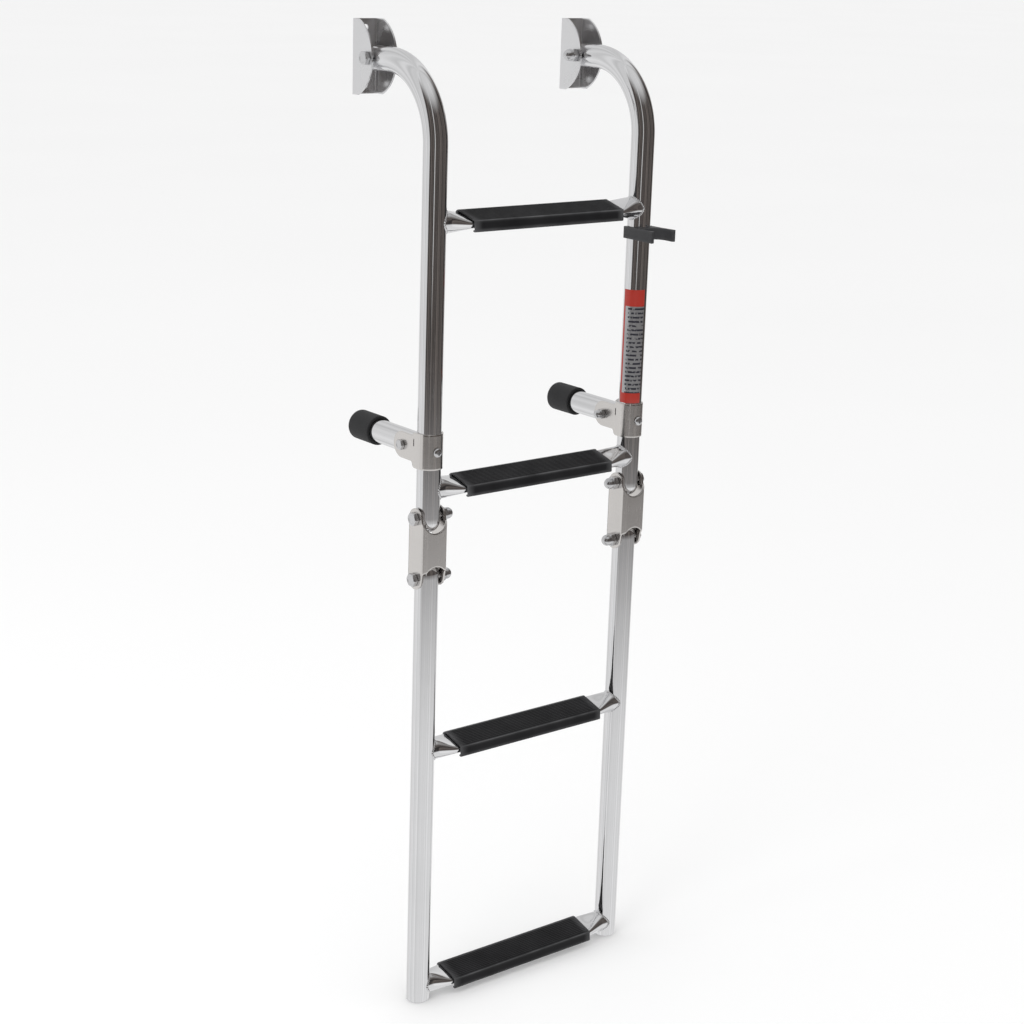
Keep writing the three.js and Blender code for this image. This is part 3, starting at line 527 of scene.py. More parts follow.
def moulded(name, base, worn_and_highlight_tone, roughness, fine, depth, specular):
    """Moulded plastic or rubber with a fine grain, dusty patches and lighter edges that are partly scuffs and
    partly painted highlight.
    """
    made, tree, shader = new_material(name)
    place = node(tree, "ShaderNodeTexCoord").outputs["Object"]
    grain = noise(tree, place, fine, 3.0)
    patches = noise(tree, place, 35.0, 4.0)
    # How much lighter edge colour a point gets, scuffs and painted highlight together, broken up by the
    # patches.
    wear = node(tree, "ShaderNodeAttribute", attribute_name="wear").outputs["Fac"]
    rub_and_highlight = arithmetic(tree)("MULTIPLY", wear, spread(tree, patches, 0.35, 1.0))
    base = np.array(base)
    tone = blend_colours(tree, spread(tree, patches, 0.0, 1.0), tuple(base), tuple(base * 1.35 + 0.001))
    tone = blend_colours(tree, rub_and_highlight, tone, worn_and_highlight_tone)
    shader.inputs["Specular IOR Level"].default_value = specular
    rough = spread(tree, grain, roughness * 0.85, roughness * 1.15)
    shine(tree, shader, tone, rough, bump(tree, grain, 0.4, depth))
    return made


def sticker(name, band, film, rule, top, bottom):
    """Silvered film between two coloured bands, with rows of plain printed dashes.

    Rows repeat down the rail, and a coarse noise breaks each into uneven dashes. A thin
    stripe of the bands' colour runs down the edge that faces the bearing of the stripe.
    """
    top_band, bottom_band, half_row, bare = 18.4 * MM, 11.4 * MM, 2.35 * MM, 1.25 * MM
    stripe_bearing = math.radians(164)
    made, tree, shader = new_material(name)
    work_out = arithmetic(tree)
    place = node(tree, "ShaderNodeTexCoord").outputs["Object"]
    height = node(tree, "ShaderNodeSeparateXYZ", {0: place}).outputs[2]
    row = work_out("PINGPONG", work_out("SUBTRACT", top, height), half_row)
    printed = work_out("GREATER_THAN", row, bare)
    dashes = noise(tree, place, 1.0, 0.0, stretch=(560.0, 560.0, 213.0))
    ink = work_out("MULTIPLY", printed, work_out("GREATER_THAN", dashes, 0.385))
    in_top = work_out("GREATER_THAN", height, top - top_band)
    in_bottom = work_out("LESS_THAN", height, bottom + bottom_band)
    in_band = work_out("MAXIMUM", in_top, in_bottom)
    edge = (math.cos(stripe_bearing), math.sin(stripe_bearing), 0.0)
    axis = (RAIL_X["right"], RAIL_Y, 0.0)
    offset = node(tree, "ShaderNodeVectorMath", {0: place, 1: axis}, operation="SUBTRACT").outputs[0]
    reach = node(tree, "ShaderNodeVectorMath", {0: offset, 1: edge}, operation="DOT_PRODUCT").outputs["Value"]
    in_band = work_out("MAXIMUM", in_band, work_out("GREATER_THAN", reach, 0.987 * RAIL_R))
    ink = work_out("MULTIPLY", ink, work_out("LESS_THAN", reach, 0.88 * RAIL_R))
    patches = noise(tree, place, 60.0, 3.0)
    faded = blend_colours(tree, spread(tree, patches, 0.0, 0.35), film, tuple(np.array(film) * 0.8))
    tone = blend_colours(tree, ink, faded, rule)
    tone = blend_colours(tree, in_band, tone, band)
    metal = work_out("MULTIPLY", work_out("SUBTRACT", 1.0, in_band), work_out("SUBTRACT", 0.85, ink))
    shader.inputs["Coat Weight"].default_value = 0.1
    shader.inputs["Coat Roughness"].default_value = 0.15
    tree.links.new(work_out("MAXIMUM", metal, 0.0), shader.inputs["Metallic"])
    shine(tree, shader, tone, spread(tree, patches, 0.26, 0.4), bump(tree, patches, 0.2, 0.05 * MM))
    return made


MATERIALS = {}


def finish_of(kind):
    """The material of a kind, made once from the finish settings."""
    if kind in MATERIALS:
        return MATERIALS[kind]
    look = bpy.context.scene.ladder_finishes
    polish, worn_and_highlight_tone = look.polished_roughness, look.tread_wear
    steels = {
        "tube": ("polished tube", look.polished, polish, (2600.0, 14.0, 1.0), 0.02 * MM),
        "step": ("polished step", look.polished, polish, (1800.0, 60.0, 1.0), 0.03 * MM),
        "bracket": ("polished sheet", look.polished, polish * 4, (300.0, 900.0, 1.0), 0.02 * MM),
        "sheet": ("satin sheet", look.satin, look.satin_roughness, (1700.0, 24.0, 1.0), 0.02 * MM),
        "bolt": ("bright fastener", look.bolt, look.bolt_roughness, (500.0, 1500.0, 1.0), 0.02 * MM),
        "weld": ("polished weld", look.polished, polish * 2.2, (700.0, 700.0, 1.0), 0.08 * MM),
        "plug": ("foot plug", look.plug, 0.35, (400.0, 400.0, 1.0), 0.04 * MM),
    }
    plastics = {
        "tread": ("ribbed plastic", look.tread, worn_and_highlight_tone, 0.46, 1400.0, 0.03 * MM, 0.16),
        "rubber": ("black rubber", look.rubber, worn_and_highlight_tone, 0.62, 900.0, 0.08 * MM, 0.35),
        "clip": ("clip plastic", look.clip, worn_and_highlight_tone, 0.5, 1100.0, 0.06 * MM, 0.35),
    }
    if kind in steels:
        made = steel(*steels[kind])
    elif kind in plastics:
        made = moulded(*plastics[kind])
    else:
        low, high = span("rail_label")
        colours = (look.label_band, look.label_film, look.label_rule)
        made = sticker("banded sticker", *colours, float(high[2]), float(low[2]))
    MATERIALS[kind] = made
    return made


def settle(obj, kind, slot, body, *nodes):
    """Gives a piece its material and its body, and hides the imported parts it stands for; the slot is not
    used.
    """
    obj.data.materials.append(finish_of(kind))
    if nodes:
        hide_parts(*nodes)
    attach(obj, body)
    return obj


# ---------------------------------------------------------------- rails


def wall_profile(length, outer, inner, edge):
    """Closed profile of a tube wall, its outer rims rounded by edge."""
    turn, count = np.linspace(0, math.pi / 2, 4), 30
    rim_s, rim_r = edge * (1 - np.cos(turn)), outer - edge * (1 - np.sin(turn))
    run = np.linspace(edge, length - edge, count)
    s = np.concatenate([rim_s, run[1:-1], (length - rim_s)[::-1], [length], run[::-1], [0.0]])
    outside, bore = np.full(count - 2, outer), np.full(count, inner)
    r = np.concatenate([rim_r, outside, rim_r[::-1], [inner + edge], bore, [inner + edge]])
    return s, r


def domed_end(sizes):
    """Stations and radii of a rail's rounded hinge end, an ellipse's quarter."""
    a = np.linspace(0.08, math.pi / 2, 14)
    return -sizes.dome_start - sizes.dome_depth * np.cos(a), RAIL_R * np.sin(a)


def bend_start(bend):
    """Distance from an upper rail's hinge bolt up to the start of its top bend."""
    return -bend - UPPER_HINGE_Z + PIVOT[2]


def upper_rail_line(s, bend):
    """Centre and in-plane normal of an upper rail at distance s up from its hinge bolt.

    The line rises straight to the bend, follows a quarter circle of radius bend towards
    +Y, and runs straight back past the bracket bolt. The normal points out of the bend.
    """
    rise, quarter = bend_start(bend), bend * math.pi / 2
    a = np.clip((s - rise) / bend, 0, math.pi / 2)
    past = np.maximum(s - rise - quarter, 0)
    y = RAIL_Y + bend * (1 - np.cos(a)) + past
    z = UPPER_HINGE_Z + np.minimum(s, rise) + bend * np.sin(a)
    return np.stack([y, z], -1), np.stack([-np.cos(a), np.sin(a)], -1)


def upper_rail(side, sizes):
    """Hollow bent rail with a domed hinge end, as rings carried along its line."""
    bend, steps = sizes.bend_radius, sizes.tube_sides
    rise, quarter = bend_start(bend), bend * math.pi / 2
    end = rise + quarter + (span(f"{side}_upper_rail")[1][1] - RAIL_Y - bend)
    body = [np.linspace(0, rise, 40), rise + np.linspace(0, quarter, 49)[1:], [end - 2 * MM]]
    body = np.concatenate(body)
    rim, bevel = 0.5 * MM, 0.15 * MM
    inner = RAIL_R - sizes.tube_wall
    dome_s, dome_r = domed_end(sizes)
    s = [dome_s, body, [end - rim, end - bevel, end, end], body[::-1], [-sizes.dome_start]]
    r = [dome_r, np.full(len(body), RAIL_R), [RAIL_R, RAIL_R - bevel, RAIL_R - rim, inner]]
    r += [np.full(len(body), inner), [inner * 0.6]]
    s, r = np.concatenate(s), np.concatenate(r)
    centre, normal = upper_rail_line(s, bend)
    angle = round_angles(steps)
    out = r[:, None] * np.sin(angle)
    x = RAIL_X[side] + r[:, None] * np.cos(angle)
    yz = centre[:, None, :] + out[..., None] * normal[:, None, :]
    points = np.concatenate([x[..., None], yz], -1)
    poles = [np.array([RAIL_X[side], *centre[0]]), np.array([RAIL_X[side], *centre[-1]])]
    poles[0][2] = UPPER_HINGE_Z - sizes.dome_start - sizes.dome_depth
    around = round_lengths(steps, RAIL_R)
    return grid(f"{side}_upper_tube", points, travelled(s, r), around, poles=poles)


def lower_rail(side, sizes):
    """Hollow straight rail with a domed hinge end and an open foot."""
    edge, count = 0.9 * MM, 50
    inner = RAIL_R - sizes.tube_wall
    length = LOWER_HINGE_Z - FOOT_Z
    dome_s, dome_r = domed_end(sizes)
    body = np.linspace(0, length - edge, count)
    rim_s, rim_r = length - edge * np.array([0.5, 0.15, 0]), RAIL_R - edge * np.array([0.12, 0.45, 0.9])
    s = np.concatenate([dome_s, body, rim_s, [length], body[::-1], [-sizes.dome_start]])
    outside, bore = np.full(count, RAIL_R), np.full(count, inner)
    r = np.concatenate([dome_r, outside, rim_r, [inner], bore, [inner * 0.6]])
    top = np.array([RAIL_X[side], RAIL_Y, LOWER_HINGE_Z])
    return turned(f"{side}_lower_tube", top, (0.0, 0.0, -1.0), s, r, sizes.tube_sides)


def foot_disc(side):
    """Disc that closes a rail's foot, with a rounded rim."""
    low, high = span(f"{side}_foot_plug")
    radius, height = (high[0] - low[0]) / 2, high[2] - low[2]
    centre = np.array([RAIL_X[side], RAIL_Y, low[2]])
    s = np.array([0.25, 0.0, 0.0, 0.2, 0.6, 1.0, 1.0]) * height
    r = np.array([0.02, 0.3, 0.88, 0.97, 1.0, 1.0, 0.5]) * radius
    return turned(f"{side}_foot_disc", centre, (0.0, 0.0, 1.0), s, r, 64)


class LADDER_OT_rails(bpy.types.Operator):
    """Make the polished upper and lower rails with their rounded hinge ends"""

    bl_idname = "ladder.rails"
    bl_label = "Rails"

    def execute(self, context):
        sizes = context.scene.ladder_sizes
        for side in SIDES:
            for half, make in (("upper", upper_rail), ("lower", lower_rail)):
                nodes = (f"{side}_{half}_rail", f"{side}_{half}_rail_plug")
                settle(make(side, sizes), "tube", "polished_steel", f"{half}_section", *nodes)
            settle(foot_disc(side), "plug", "plug_alloy", "lower_section", f"{side}_foot_plug")
        return {"FINISHED"}


# ---------------------------------------------------------------- steps

STEP_BODIES = ("upper_section", "upper_section", "lower_section", "lower_section")
TILT = math.radians(15)
STEP_R = 12 * MM
PAD_HALF_WIDTH = 15.5 * MM
PAD_HALF_HEIGHT = 4.3 * MM


def tilted(y, z, centre):
    """Turns a section's (y, z) by the steps' tilt and moves it to its centre."""
    c, s = math.cos(TILT), math.sin(TILT)
    return centre[1] + y * c - z * s, centre[2] + y * s + z * c


def step_centre(number):
    """Centre of a step tube; its packed box is symmetric about it."""
    return middle(f"step_tube_{number}")


def step_tube(number):
    """Tube that is round at the rails and pressed flat under the tread.

    A section point is the smooth blend of a circle and a flat pad with round ends. The
    share of the pad is mostly t, eased by 3t^2 - 2t^3, and the last rings run out to the
    rails' surface, at half the spacing less the root of rail radius squared less y squared.
    """
    centre = step_centre(number)
    half_span = RAIL_X["right"]
    flat_end = span(f"tread_{number}")[1][0] + 0.5 * MM
    round_start = half_span - RAIL_R - 0.5 * MM
    t = np.linspace(0, 1, 22)
    taper = round_start - t * (round_start - flat_end)
    share = 0.7 * t + 0.3 * t * t * (3 - 2 * t)
    x = np.concatenate([[round_start + 0.5 * MM], taper, np.linspace(flat_end, 0, 6)[1:]])
    share = np.concatenate([[0.0], share, np.ones(5)])
    x = np.concatenate([-x, x[::-1][1:]])
    share = np.concatenate([share, share[::-1][1:]])
    steps = 96
    a = round_angles(steps)
    pad_centre = PAD_HALF_WIDTH - PAD_HALF_HEIGHT
    across, rise = np.cos(a), np.sin(a)
    pad_y = pad_centre * np.clip(across * 2.0, -1, 1) + PAD_HALF_HEIGHT * across
    pad_z = PAD_HALF_HEIGHT * np.sign(rise) * np.abs(rise) ** 0.75
    y = STEP_R * across + share[:, None] * (pad_y - STEP_R * across)
    z = STEP_R * rise + share[:, None] * (pad_z - STEP_R * rise)
    y, z = tilted(y, z, centre)
    reach = half_span - np.sqrt(np.maximum(RAIL_R**2 - (y - centre[1]) ** 2, 0))
    x = np.broadcast_to(x[:, None], y.shape).copy()
    x[0], x[-1] = -reach[0], reach[-1]
    points = np.stack([x, y, z], -1)
    poles = [points[0].mean(0), points[-1].mean(0)]
    around = round_lengths(steps, STEP_R)
    return grid(f"step_{number}_tube", points, x[:, 0] + half_span, around, poles=poles)


def weld_bead(number, side, sizes):
    """Bead along the saddle where a step tube meets a rail.

    The saddle line is (spacing/2 - sqrt(R^2 - y^2), r cos a, r sin a); the bead is a ring
    of small circles along it, whose radius swells and shrinks forty-four times round.
    """
    centre = step_centre(number)
    sign = 1.0 if side == "right" else -1.0
    count, sides = 176, 12
    a = round_angles(count)
    radius = STEP_R - 0.1 * MM
    y, z = radius * np.cos(a), radius * np.sin(a)
    x = sign * (RAIL_X["right"] - np.sqrt(RAIL_R**2 - y**2))
    line = np.stack([x, y, z], -1)
    tangent = np.roll(line, -1, 0) - np.roll(line, 1, 0)
    tangent /= np.linalg.norm(tangent, axis=1, keepdims=True)
    out = np.stack([np.zeros_like(a), np.cos(a), np.sin(a)], -1)
    out -= tangent * np.sum(out * tangent, 1, keepdims=True)
    out /= np.linalg.norm(out, axis=1, keepdims=True)
    third = np.cross(tangent, out)
    b = round_angles(sides)
    bead = sizes.weld_bead * (1 + 0.16 * np.sin(44 * a) + 0.05 * np.sin(7 * a + number))
    ring = np.cos(b)[None, :, None] * out[:, None] + np.sin(b)[None, :, None] * third[:, None]
    points = line[:, None] + bead[:, None, None] * ring
    points = points + np.array([0.0, centre[1], centre[2]])
    along = round_lengths(count, radius)
    around = np.arange(sides + 1) * sizes.weld_bead / 2
    return grid(f"step_{number}_{side}_weld", points, along, around, wrap_rows=True)


class LADDER_OT_step_tubes(bpy.types.Operator):
    """Make the four flattened step tubes and their weld beads"""

    bl_idname = "ladder.step_tubes"
    bl_label = "Step tubes"

    def execute(self, context):
        sizes = context.scene.ladder_sizes
        for number, body in enumerate(STEP_BODIES, 1):
            settle(step_tube(number), "step", "polished_steel", body, f"step_tube_{number}")
            for side in SIDES:
                settle(weld_bead(number, side, sizes), "weld", "polished_steel", body)
        return {"FINISHED"}


def tread_outline(sizes):
    """Section of a tread as a closed outline, and how much lighter edge colour each point gets: painted
    highlight lines on the nose and the lip's foot, and a little lighter on the rib tops and the rear curl.

    Going round: up the leaning front lip, over the rounded nose, back across the ribs
    (a cosine groove every pitch), round the rear curl and home along the inside.
    """
    wall, gap = 2.0 * MM, 0.4 * MM
    inside = PAD_HALF_HEIGHT + gap
    outside = inside + wall
    rear = PAD_HALF_WIDTH - PAD_HALF_HEIGHT
    nose, lip = -17.4 * MM, -20.2 * MM
    lip_height, turned_in, edge = 12.4 * MM, 1.8 * MM, 2.0 * MM
    foot = outside - lip_height
    front = [(lip + edge + turned_in, foot), (lip + edge, foot)]
    a = np.linspace(0, 1, 7)[1:, None]

    def corner(p, q, r):
        """Quadratic corner from p to r, pulled towards q."""
        p, q, r = (np.array(part) for part in (p, q, r))
        return (1 - a) ** 2 * p + 2 * a * (1 - a) * q + a * a * r

    front = np.vstack([front, corner(front[1], (lip, foot), (lip, foot + edge))])
    climb = np.linspace(0, 1, 8)[1:, None]
    slope = np.array([lip, foot + edge]) * (1 - climb) + np.array([nose, outside - edge]) * climb
    bend = corner(slope[-1], (nose, outside), (nose + edge, outside))
    run = np.linspace(nose + edge, rear, 240)[1:-1]
    first = (nose + rear) / 2 - (sizes.rib_count - 1) / 2 * sizes.rib_pitch + 1 * MM
    phase = (run - first) / sizes.rib_pitch
    within = (phase > -0.5) & (phase < sizes.rib_count - 0.5)
    groove = np.where(within, np.clip(np.cos(2 * math.pi * phase) * 1.6 + 0.2, -1, 1), -1)
    level = outside - sizes.rib_depth * (groove + 1) / 2
    top = np.stack([run, level], -1)
    curl = arc_points((rear, 0), outside, math.pi / 2, -math.pi / 3, 22)
    back = arc_points((rear, 0), inside, -math.pi / 3, math.pi / 2, 22)
    home = corner((nose + wall + edge, inside), (nose + wall, inside), (nose + wall, inside - edge))
    hook = foot + wall * 0.8
    under = corner((lip + wall, hook + edge / 2), (lip + wall, hook), (lip + wall + edge / 2, hook))
    last = np.array([[lip + edge + turned_in, hook]])
    outline = np.vstack([front, slope, bend, top, curl, back, home, under, last])
    ridge = np.where(within, np.clip(-groove, 0, 1) * 0.12, 0.02)
    # Painted highlight lines: the lip's foot rises to 0.4 and the nose peaks at 0.9; the rib tops and the
    # rear curl are only a little lighter.
    wear = np.concatenate(
        [
            np.linspace(0.1, 0.4, len(front)),
            np.concatenate([[0.25, 0.03], np.full(len(slope) - 3, 0.02), [0.1]]),
            np.array([0.2, 0.5, 0.9, 0.6, 0.15, 0.02]),
            ridge,
            np.full(len(curl), 0.25),
            np.full(len(back) + len(home) + len(under) + 1, 0.05),
        ]
    )
    return outline, wear


class LADDER_OT_treads(bpy.types.Operator):
    """Make the four ribbed tread covers"""

    bl_idname = "ladder.treads"
    bl_label = "Treads"

    def execute(self, context):
        sizes = context.scene.ladder_sizes
        outline, wear = tread_outline(sizes)
        for number, body in enumerate(STEP_BODIES, 1):
            low, high = span(f"tread_{number}")
            centre = step_centre(number)

            def place(section, x):
                y, z = tilted(section[..., 0], section[..., 1], centre)
                return np.stack([np.broadcast_to(x, y.shape), y, z], -1)

            stations, inset = rounded_ends(low[0], high[0], 0.45 * MM, 24)
            # Within 1.7 mm of each end the tread gets a light line: painted edge highlight.
            ends = np.maximum(0, 1 - np.minimum(stations - low[0], high[0] - stations) / (1.7 * MM))
            rub_and_highlight = np.maximum(wear[None], 0.9 * ends[:, None])
            tread = carried(f"step_{number}_tread", outline, stations, inset, place, wear=rub_and_highlight)
            settle(tread, "tread", "tread_plastic", body, f"tread_{number}")
        return {"FINISHED"}


# ---------------------------------------------------------------- pressed sheet


def even_line(points, pitch):
    """Adds points along straight runs of a plan line so that none is longer than pitch."""
    made = [points[:1]]
    for start, end in zip(points[:-1], points[1:]):
        count = max(1, int(math.ceil(np.linalg.norm(end - start) / pitch)))
        made.append(start + (end - start) * np.linspace(0, 1, count + 1)[1:, None])
    return np.vstack(made)


def bracket(side):
    """Wall bracket: a back plate with two screw holes and two D-shaped ears.

    An ear's half height at depth d is the plate's, or sqrt(R^2 - (d + c)^2) where the arc
    of radius R about a point c behind the plate is lower.
    """
    wall, outer, bend = 2 * MM, 16 * MM, 3 * MM
    low, high = span(f"{side}_bracket")
    half, depth, radius = (high[2] - low[2]) / 2, high[1] - low[1], 42 * MM
    behind = radius - depth
    mid = outer - wall / 2
    a = np.linspace(0.03, math.asin(half / radius), 26)
    ear = np.stack([np.full(len(a), -mid), -(radius * np.cos(a) - behind)], -1)
    hole, blend, screw_up = 3.3 * MM, 3 * MM, 29
    beside = np.array([3.3, 4.2, 5, 6, 7, 8, 9])
    plate_x = np.concatenate([-beside[::-1], [-2.2, -1.1, 0, 1.1, 2.2], beside]) * MM
    corner = arc_points((-mid + bend, -wall / 2 - bend), bend, math.pi, math.pi / 2, 9)
    plate = np.stack([plate_x, np.full(len(plate_x), -wall / 2)], -1)
    left = np.vstack([ear, even_line(np.vstack([ear[-1:], corner[:1]]), 3 * MM)[1:], corner[1:]])
    plan = np.vstack([left, plate, left[::-1] * np.array([-1, 1])])
    deep = -plan[:, 1]
    height = np.minimum(half, np.sqrt(np.maximum(radius**2 - (deep + behind) ** 2, 0)))
    edge = 0.5 * MM
    near = screw_up + np.concatenate([plate_x[6:13] / MM, -beside[1:5], beside[1:5]])
    ends = np.array([-half, half]) / MM
    z_lines = np.unique(np.concatenate([near, -near, np.linspace(-20, 20, 11), ends])) * MM
    levels = np.clip((z_lines + half - edge) / (2 * half - 2 * edge), 0, 1)
    first = len(left) + 6
    z_of = -half + edge + levels * (2 * half - 2 * edge)
    windows = []
    screws = (-screw_up * MM, screw_up * MM)
    for centre_z in screws:
        j0 = int(np.argmin(abs(z_of - (centre_z - hole))))
        windows.append((first, first + 6, j0, j0 + 6))

    def warp(line, flank):
        """Draws the square round each screw hole out to a circle."""
        across = np.where(abs(line[:, 1] + wall / 2) < 0.01 * MM, line[:, 0], 1.0)[:, None]
        shift = np.zeros(flank.shape)
        for centre_z in screws:
            rise = flank - centre_z
            larger = np.maximum(abs(across), abs(rise))
            reach = np.maximum(np.hypot(across, rise), 1e-9)
            share = np.clip((larger - hole) / blend, 0, 1)
            scale = (1 - share) * larger / reach + share
            near = larger < hole + blend
            shift = shift + np.where(near, (scale - 1) * across, 0)
            flank = flank + np.where(near, (scale - 1) * rise, 0)
        return shift, flank

    origin = (RAIL_X[side], high[1], (low[2] + high[2]) / 2)
    name = f"{side}_wall_bracket"
    return folded_sheet(name, origin, plan, height, -height, wall, edge, levels, windows, warp, crease=40.0)


def hinge_link(side):
    """Hinge link: a channel whose web is cut back in an arc round each folded tube.

    At the upper bolt a cheek's top is sqrt(R^2 - y^2); ahead of it a quadratic curve
    runs down to the web's corner, and the web's edge lies on a circle about the bolt.
    The lower end is the same with its own corner.
    """
    low, high = span(f"{side}_hinge_link")
    wall, bend, end_radius = 2 * MM, 4 * MM, 11 * MM
    mid = (high[0] - low[0]) / 2 - wall / 2
    front = RAIL_Y - low[1]
    web = -(front - wall / 2)
    corner = arc_points((-mid + bend, web + bend), bend, math.pi, 1.5 * math.pi, 12)
    rear = end_radius * np.cos(np.linspace(0.06, math.pi / 2, 14))
    cheek = np.stack([np.full(len(rear), -mid), rear], -1)
    ahead = even_line(np.array([[-mid, 0.0], corner[0]]), 1.2 * MM)[1:]
    left = np.vstack([cheek, ahead, corner[1:]])
    flat = even_line(np.array([corner[-1], corner[-1] * np.array([-1, 1])]), 0.9 * MM)[1:-1]
    plan = np.vstack([left, flat, left[::-1] * np.array([-1, 1])])
    x, y = plan.T
    notch, upper_drop, lower_drop = 14.9 * MM, 6.5 * MM, 10.5 * MM
    t = np.sqrt(np.clip((-end_radius - y) / (front - end_radius), 0, 1))
    round_end = np.sqrt(np.maximum(end_radius**2 - np.clip(y, -end_radius, end_radius) ** 2, 0))

    def end_line(corner_drop):
        """Height of the end's outline above its bolt, worked out for the upper end."""
        shoulder = -0.7 * corner_drop * 2 * t * (1 - t) - corner_drop * t * t
        line = np.where(y > -end_radius, round_end, shoulder)
        cut = -np.sqrt(np.maximum(notch**2 - x**2, 0))
        return np.where(y < -end_radius, np.minimum(line, cut), line)

    spacing = UPPER_HINGE_Z - LOWER_HINGE_Z
    origin = (RAIL_X[side], RAIL_Y, UPPER_HINGE_Z)
    top, bottom = end_line(upper_drop), -spacing - end_line(lower_drop)
    levels = np.linspace(0, 1, 40)
    return folded_sheet(f"{side}_link", origin, plan, top, bottom, wall, 0.5 * MM, levels)


def standoff_clamp(side):
    """Clamp: sheet rolled round the front of the rail, with two round-ended ears behind.

    A cheek is the clamp's full height as far as its rounded rear corner, and an ear's
    half height about the bolt is r, then sqrt(r^2 - (y - y0)^2) beyond the bolt. A window
    in each cheek is the slot, whose ends are given as shares of the clamp's height.
    """
    low, high = span(f"{side}_standoff_clamp")
    wall = 1.5 * MM
    half, outer = (high[2] - low[2]) / 2, (high[0] - low[0]) / 2
    mid, cheek, corner, ear_front = outer - wall / 2, 10 * MM, 4 * MM, 3 * MM
    bolt = middle(f"{side}_standoff_bolt")
    pivot, rise = bolt[1] - RAIL_Y, bolt[2] - (low[2] + high[2]) / 2
    ear = high[1] - RAIL_Y - pivot
    tip = pivot + ear * np.sin(np.linspace(math.pi / 2 - 0.06, 0, 14))
    behind = np.linspace(pivot, cheek, 12)[1:]
    slot_y = np.array([9.7, 9.3, 8.8, 8.2, 7.5, 6.8, 6.0, 4.5, 3.0, 1.5, 0.0]) * MM
    line = np.concatenate([tip, behind, slot_y])
    left = np.stack([np.full(len(line), -mid), line], -1)
    front = arc_points((0, 0), mid, math.pi, 2 * math.pi, 49)[1:-1]
    plan = np.vstack([left, front, left[::-1] * np.array([-1, 1])])
    y = plan[:, 1]
    body = half - corner + np.sqrt(np.maximum(corner**2 - np.clip(y - cheek + corner, 0, corner) ** 2, 0))
    body = np.where(y <= cheek, body, -1.0)
    lug = np.sqrt(np.maximum(ear**2 - np.clip(y - pivot, 0, ear) ** 2, 0))
    lug = np.where(y > ear_front, lug, 0)
    top, bottom = np.maximum(body, rise + lug), np.minimum(-body, rise - lug)
    slot_z = np.array([22.6, 25.0, 28.0, 30.6]) / 37
    levels = np.unique(np.concatenate([np.linspace(0, 1, 24), slot_z]))
    j0, j1 = (int(np.argmin(abs(levels - share))) for share in slot_z[[0, -1]])
    i0 = len(tip) + len(behind) + 3
    last = len(plan) - 1
    windows = [(i0, i0 + 2, j0, j1), (last - i0 - 2, last - i0, j0, j1)]
    origin = (RAIL_X[side], RAIL_Y, (low[2] + high[2]) / 2)
    return folded_sheet(f"{side}_clamp", origin, plan, top, bottom, wall, 0.4 * MM, levels, windows)


class LADDER_OT_brackets(bpy.types.Operator):
    """Make the two wall brackets"""

    bl_idname = "ladder.brackets"
    bl_label = "Wall brackets"

    def execute(self, context):
        for side in SIDES:
            settle(bracket(side), "bracket", "polished_steel", "brackets", f"{side}_bracket")
        return {"FINISHED"}


class LADDER_OT_hinge_links(bpy.types.Operator):
    """Make the two hinge links between the upper and lower rails"""

    bl_idname = "ladder.hinge_links"
    bl_label = "Hinge links"

    def execute(self, context):
        for side in SIDES:
            settle(hinge_link(side), "sheet", "satin_steel", f"{side}_link", f"{side}_hinge_link")
        return {"FINISHED"}


class LADDER_OT_clamps(bpy.types.Operator):
    """Make the two stand-off clamps"""

    bl_idname = "ladder.clamps"
    bl_label = "Stand-off clamps"

    def execute(self, context):
        for side in SIDES:
            node_name = f"{side}_standoff_clamp"
            settle(standoff_clamp(side), "sheet", "satin_steel", "upper_section", node_name)
        return {"FINISHED"}


# ---------------------------------------------------------------- stand-offs

BACKWARDS = (0.0, 1.0, 0.0)


def front_of(side, part):
    """Front centre, radius and length of a round part that lies along Y at a rail."""
    low, high = span(f"{side}_{part}")
    centre = np.array([RAIL_X[side], low[1], (low[2] + high[2]) / 2])
    return centre, (high[0] - low[0]) / 2, high[1] - low[1]


def standoff_tube(side, sizes):
    """Open stand-off tube behind its clamp."""
    centre, outer, length = front_of(side, "standoff")
    s, r = wall_profile(length, outer, outer - sizes.tube_wall, 0.4 * MM)
    return turned(f"{side}_standoff_tube", centre, BACKWARDS, s, r, sizes.tube_sides, closed=True)


def rubber_cap(side, sizes):
    """Cap over a stand-off tube: quarter-rounds of radius lip and rim at its two ends."""
    centre, radius, length = front_of(side, "standoff_cap")
    bore = front_of(side, "standoff")[1] + 0.1 * MM
    lip, rim, floor = 0.9 * MM, 2.4 * MM, 5 * MM
    dish, axis_hole = 0.5 * MM, 0.5 * MM
    turn = np.linspace(0, math.pi / 2, 7)
    s = [[length - floor, length - floor, lip, 0.0], np.zeros(7), lip * (1 - np.cos(turn))]
    s += [np.linspace(lip, length - rim, 12)[1:], length - rim + rim * np.sin(turn[1:])]
    s += [[length, length - dish, length - dish]]
    r = [[axis_hole, bore, bore, bore + 0.3 * MM], np.linspace(bore + 0.4 * MM, radius - lip, 7)]
    r += [radius - lip + lip * np.sin(turn), np.full(11, radius), radius - rim + rim * np.cos(turn[1:])]
    r += [[radius * 0.62, radius * 0.6, axis_hole]]
    s, r = np.concatenate(s), np.concatenate(r)
    return turned(f"{side}_rubber_cap", centre, BACKWARDS, s, r, sizes.tube_sides)


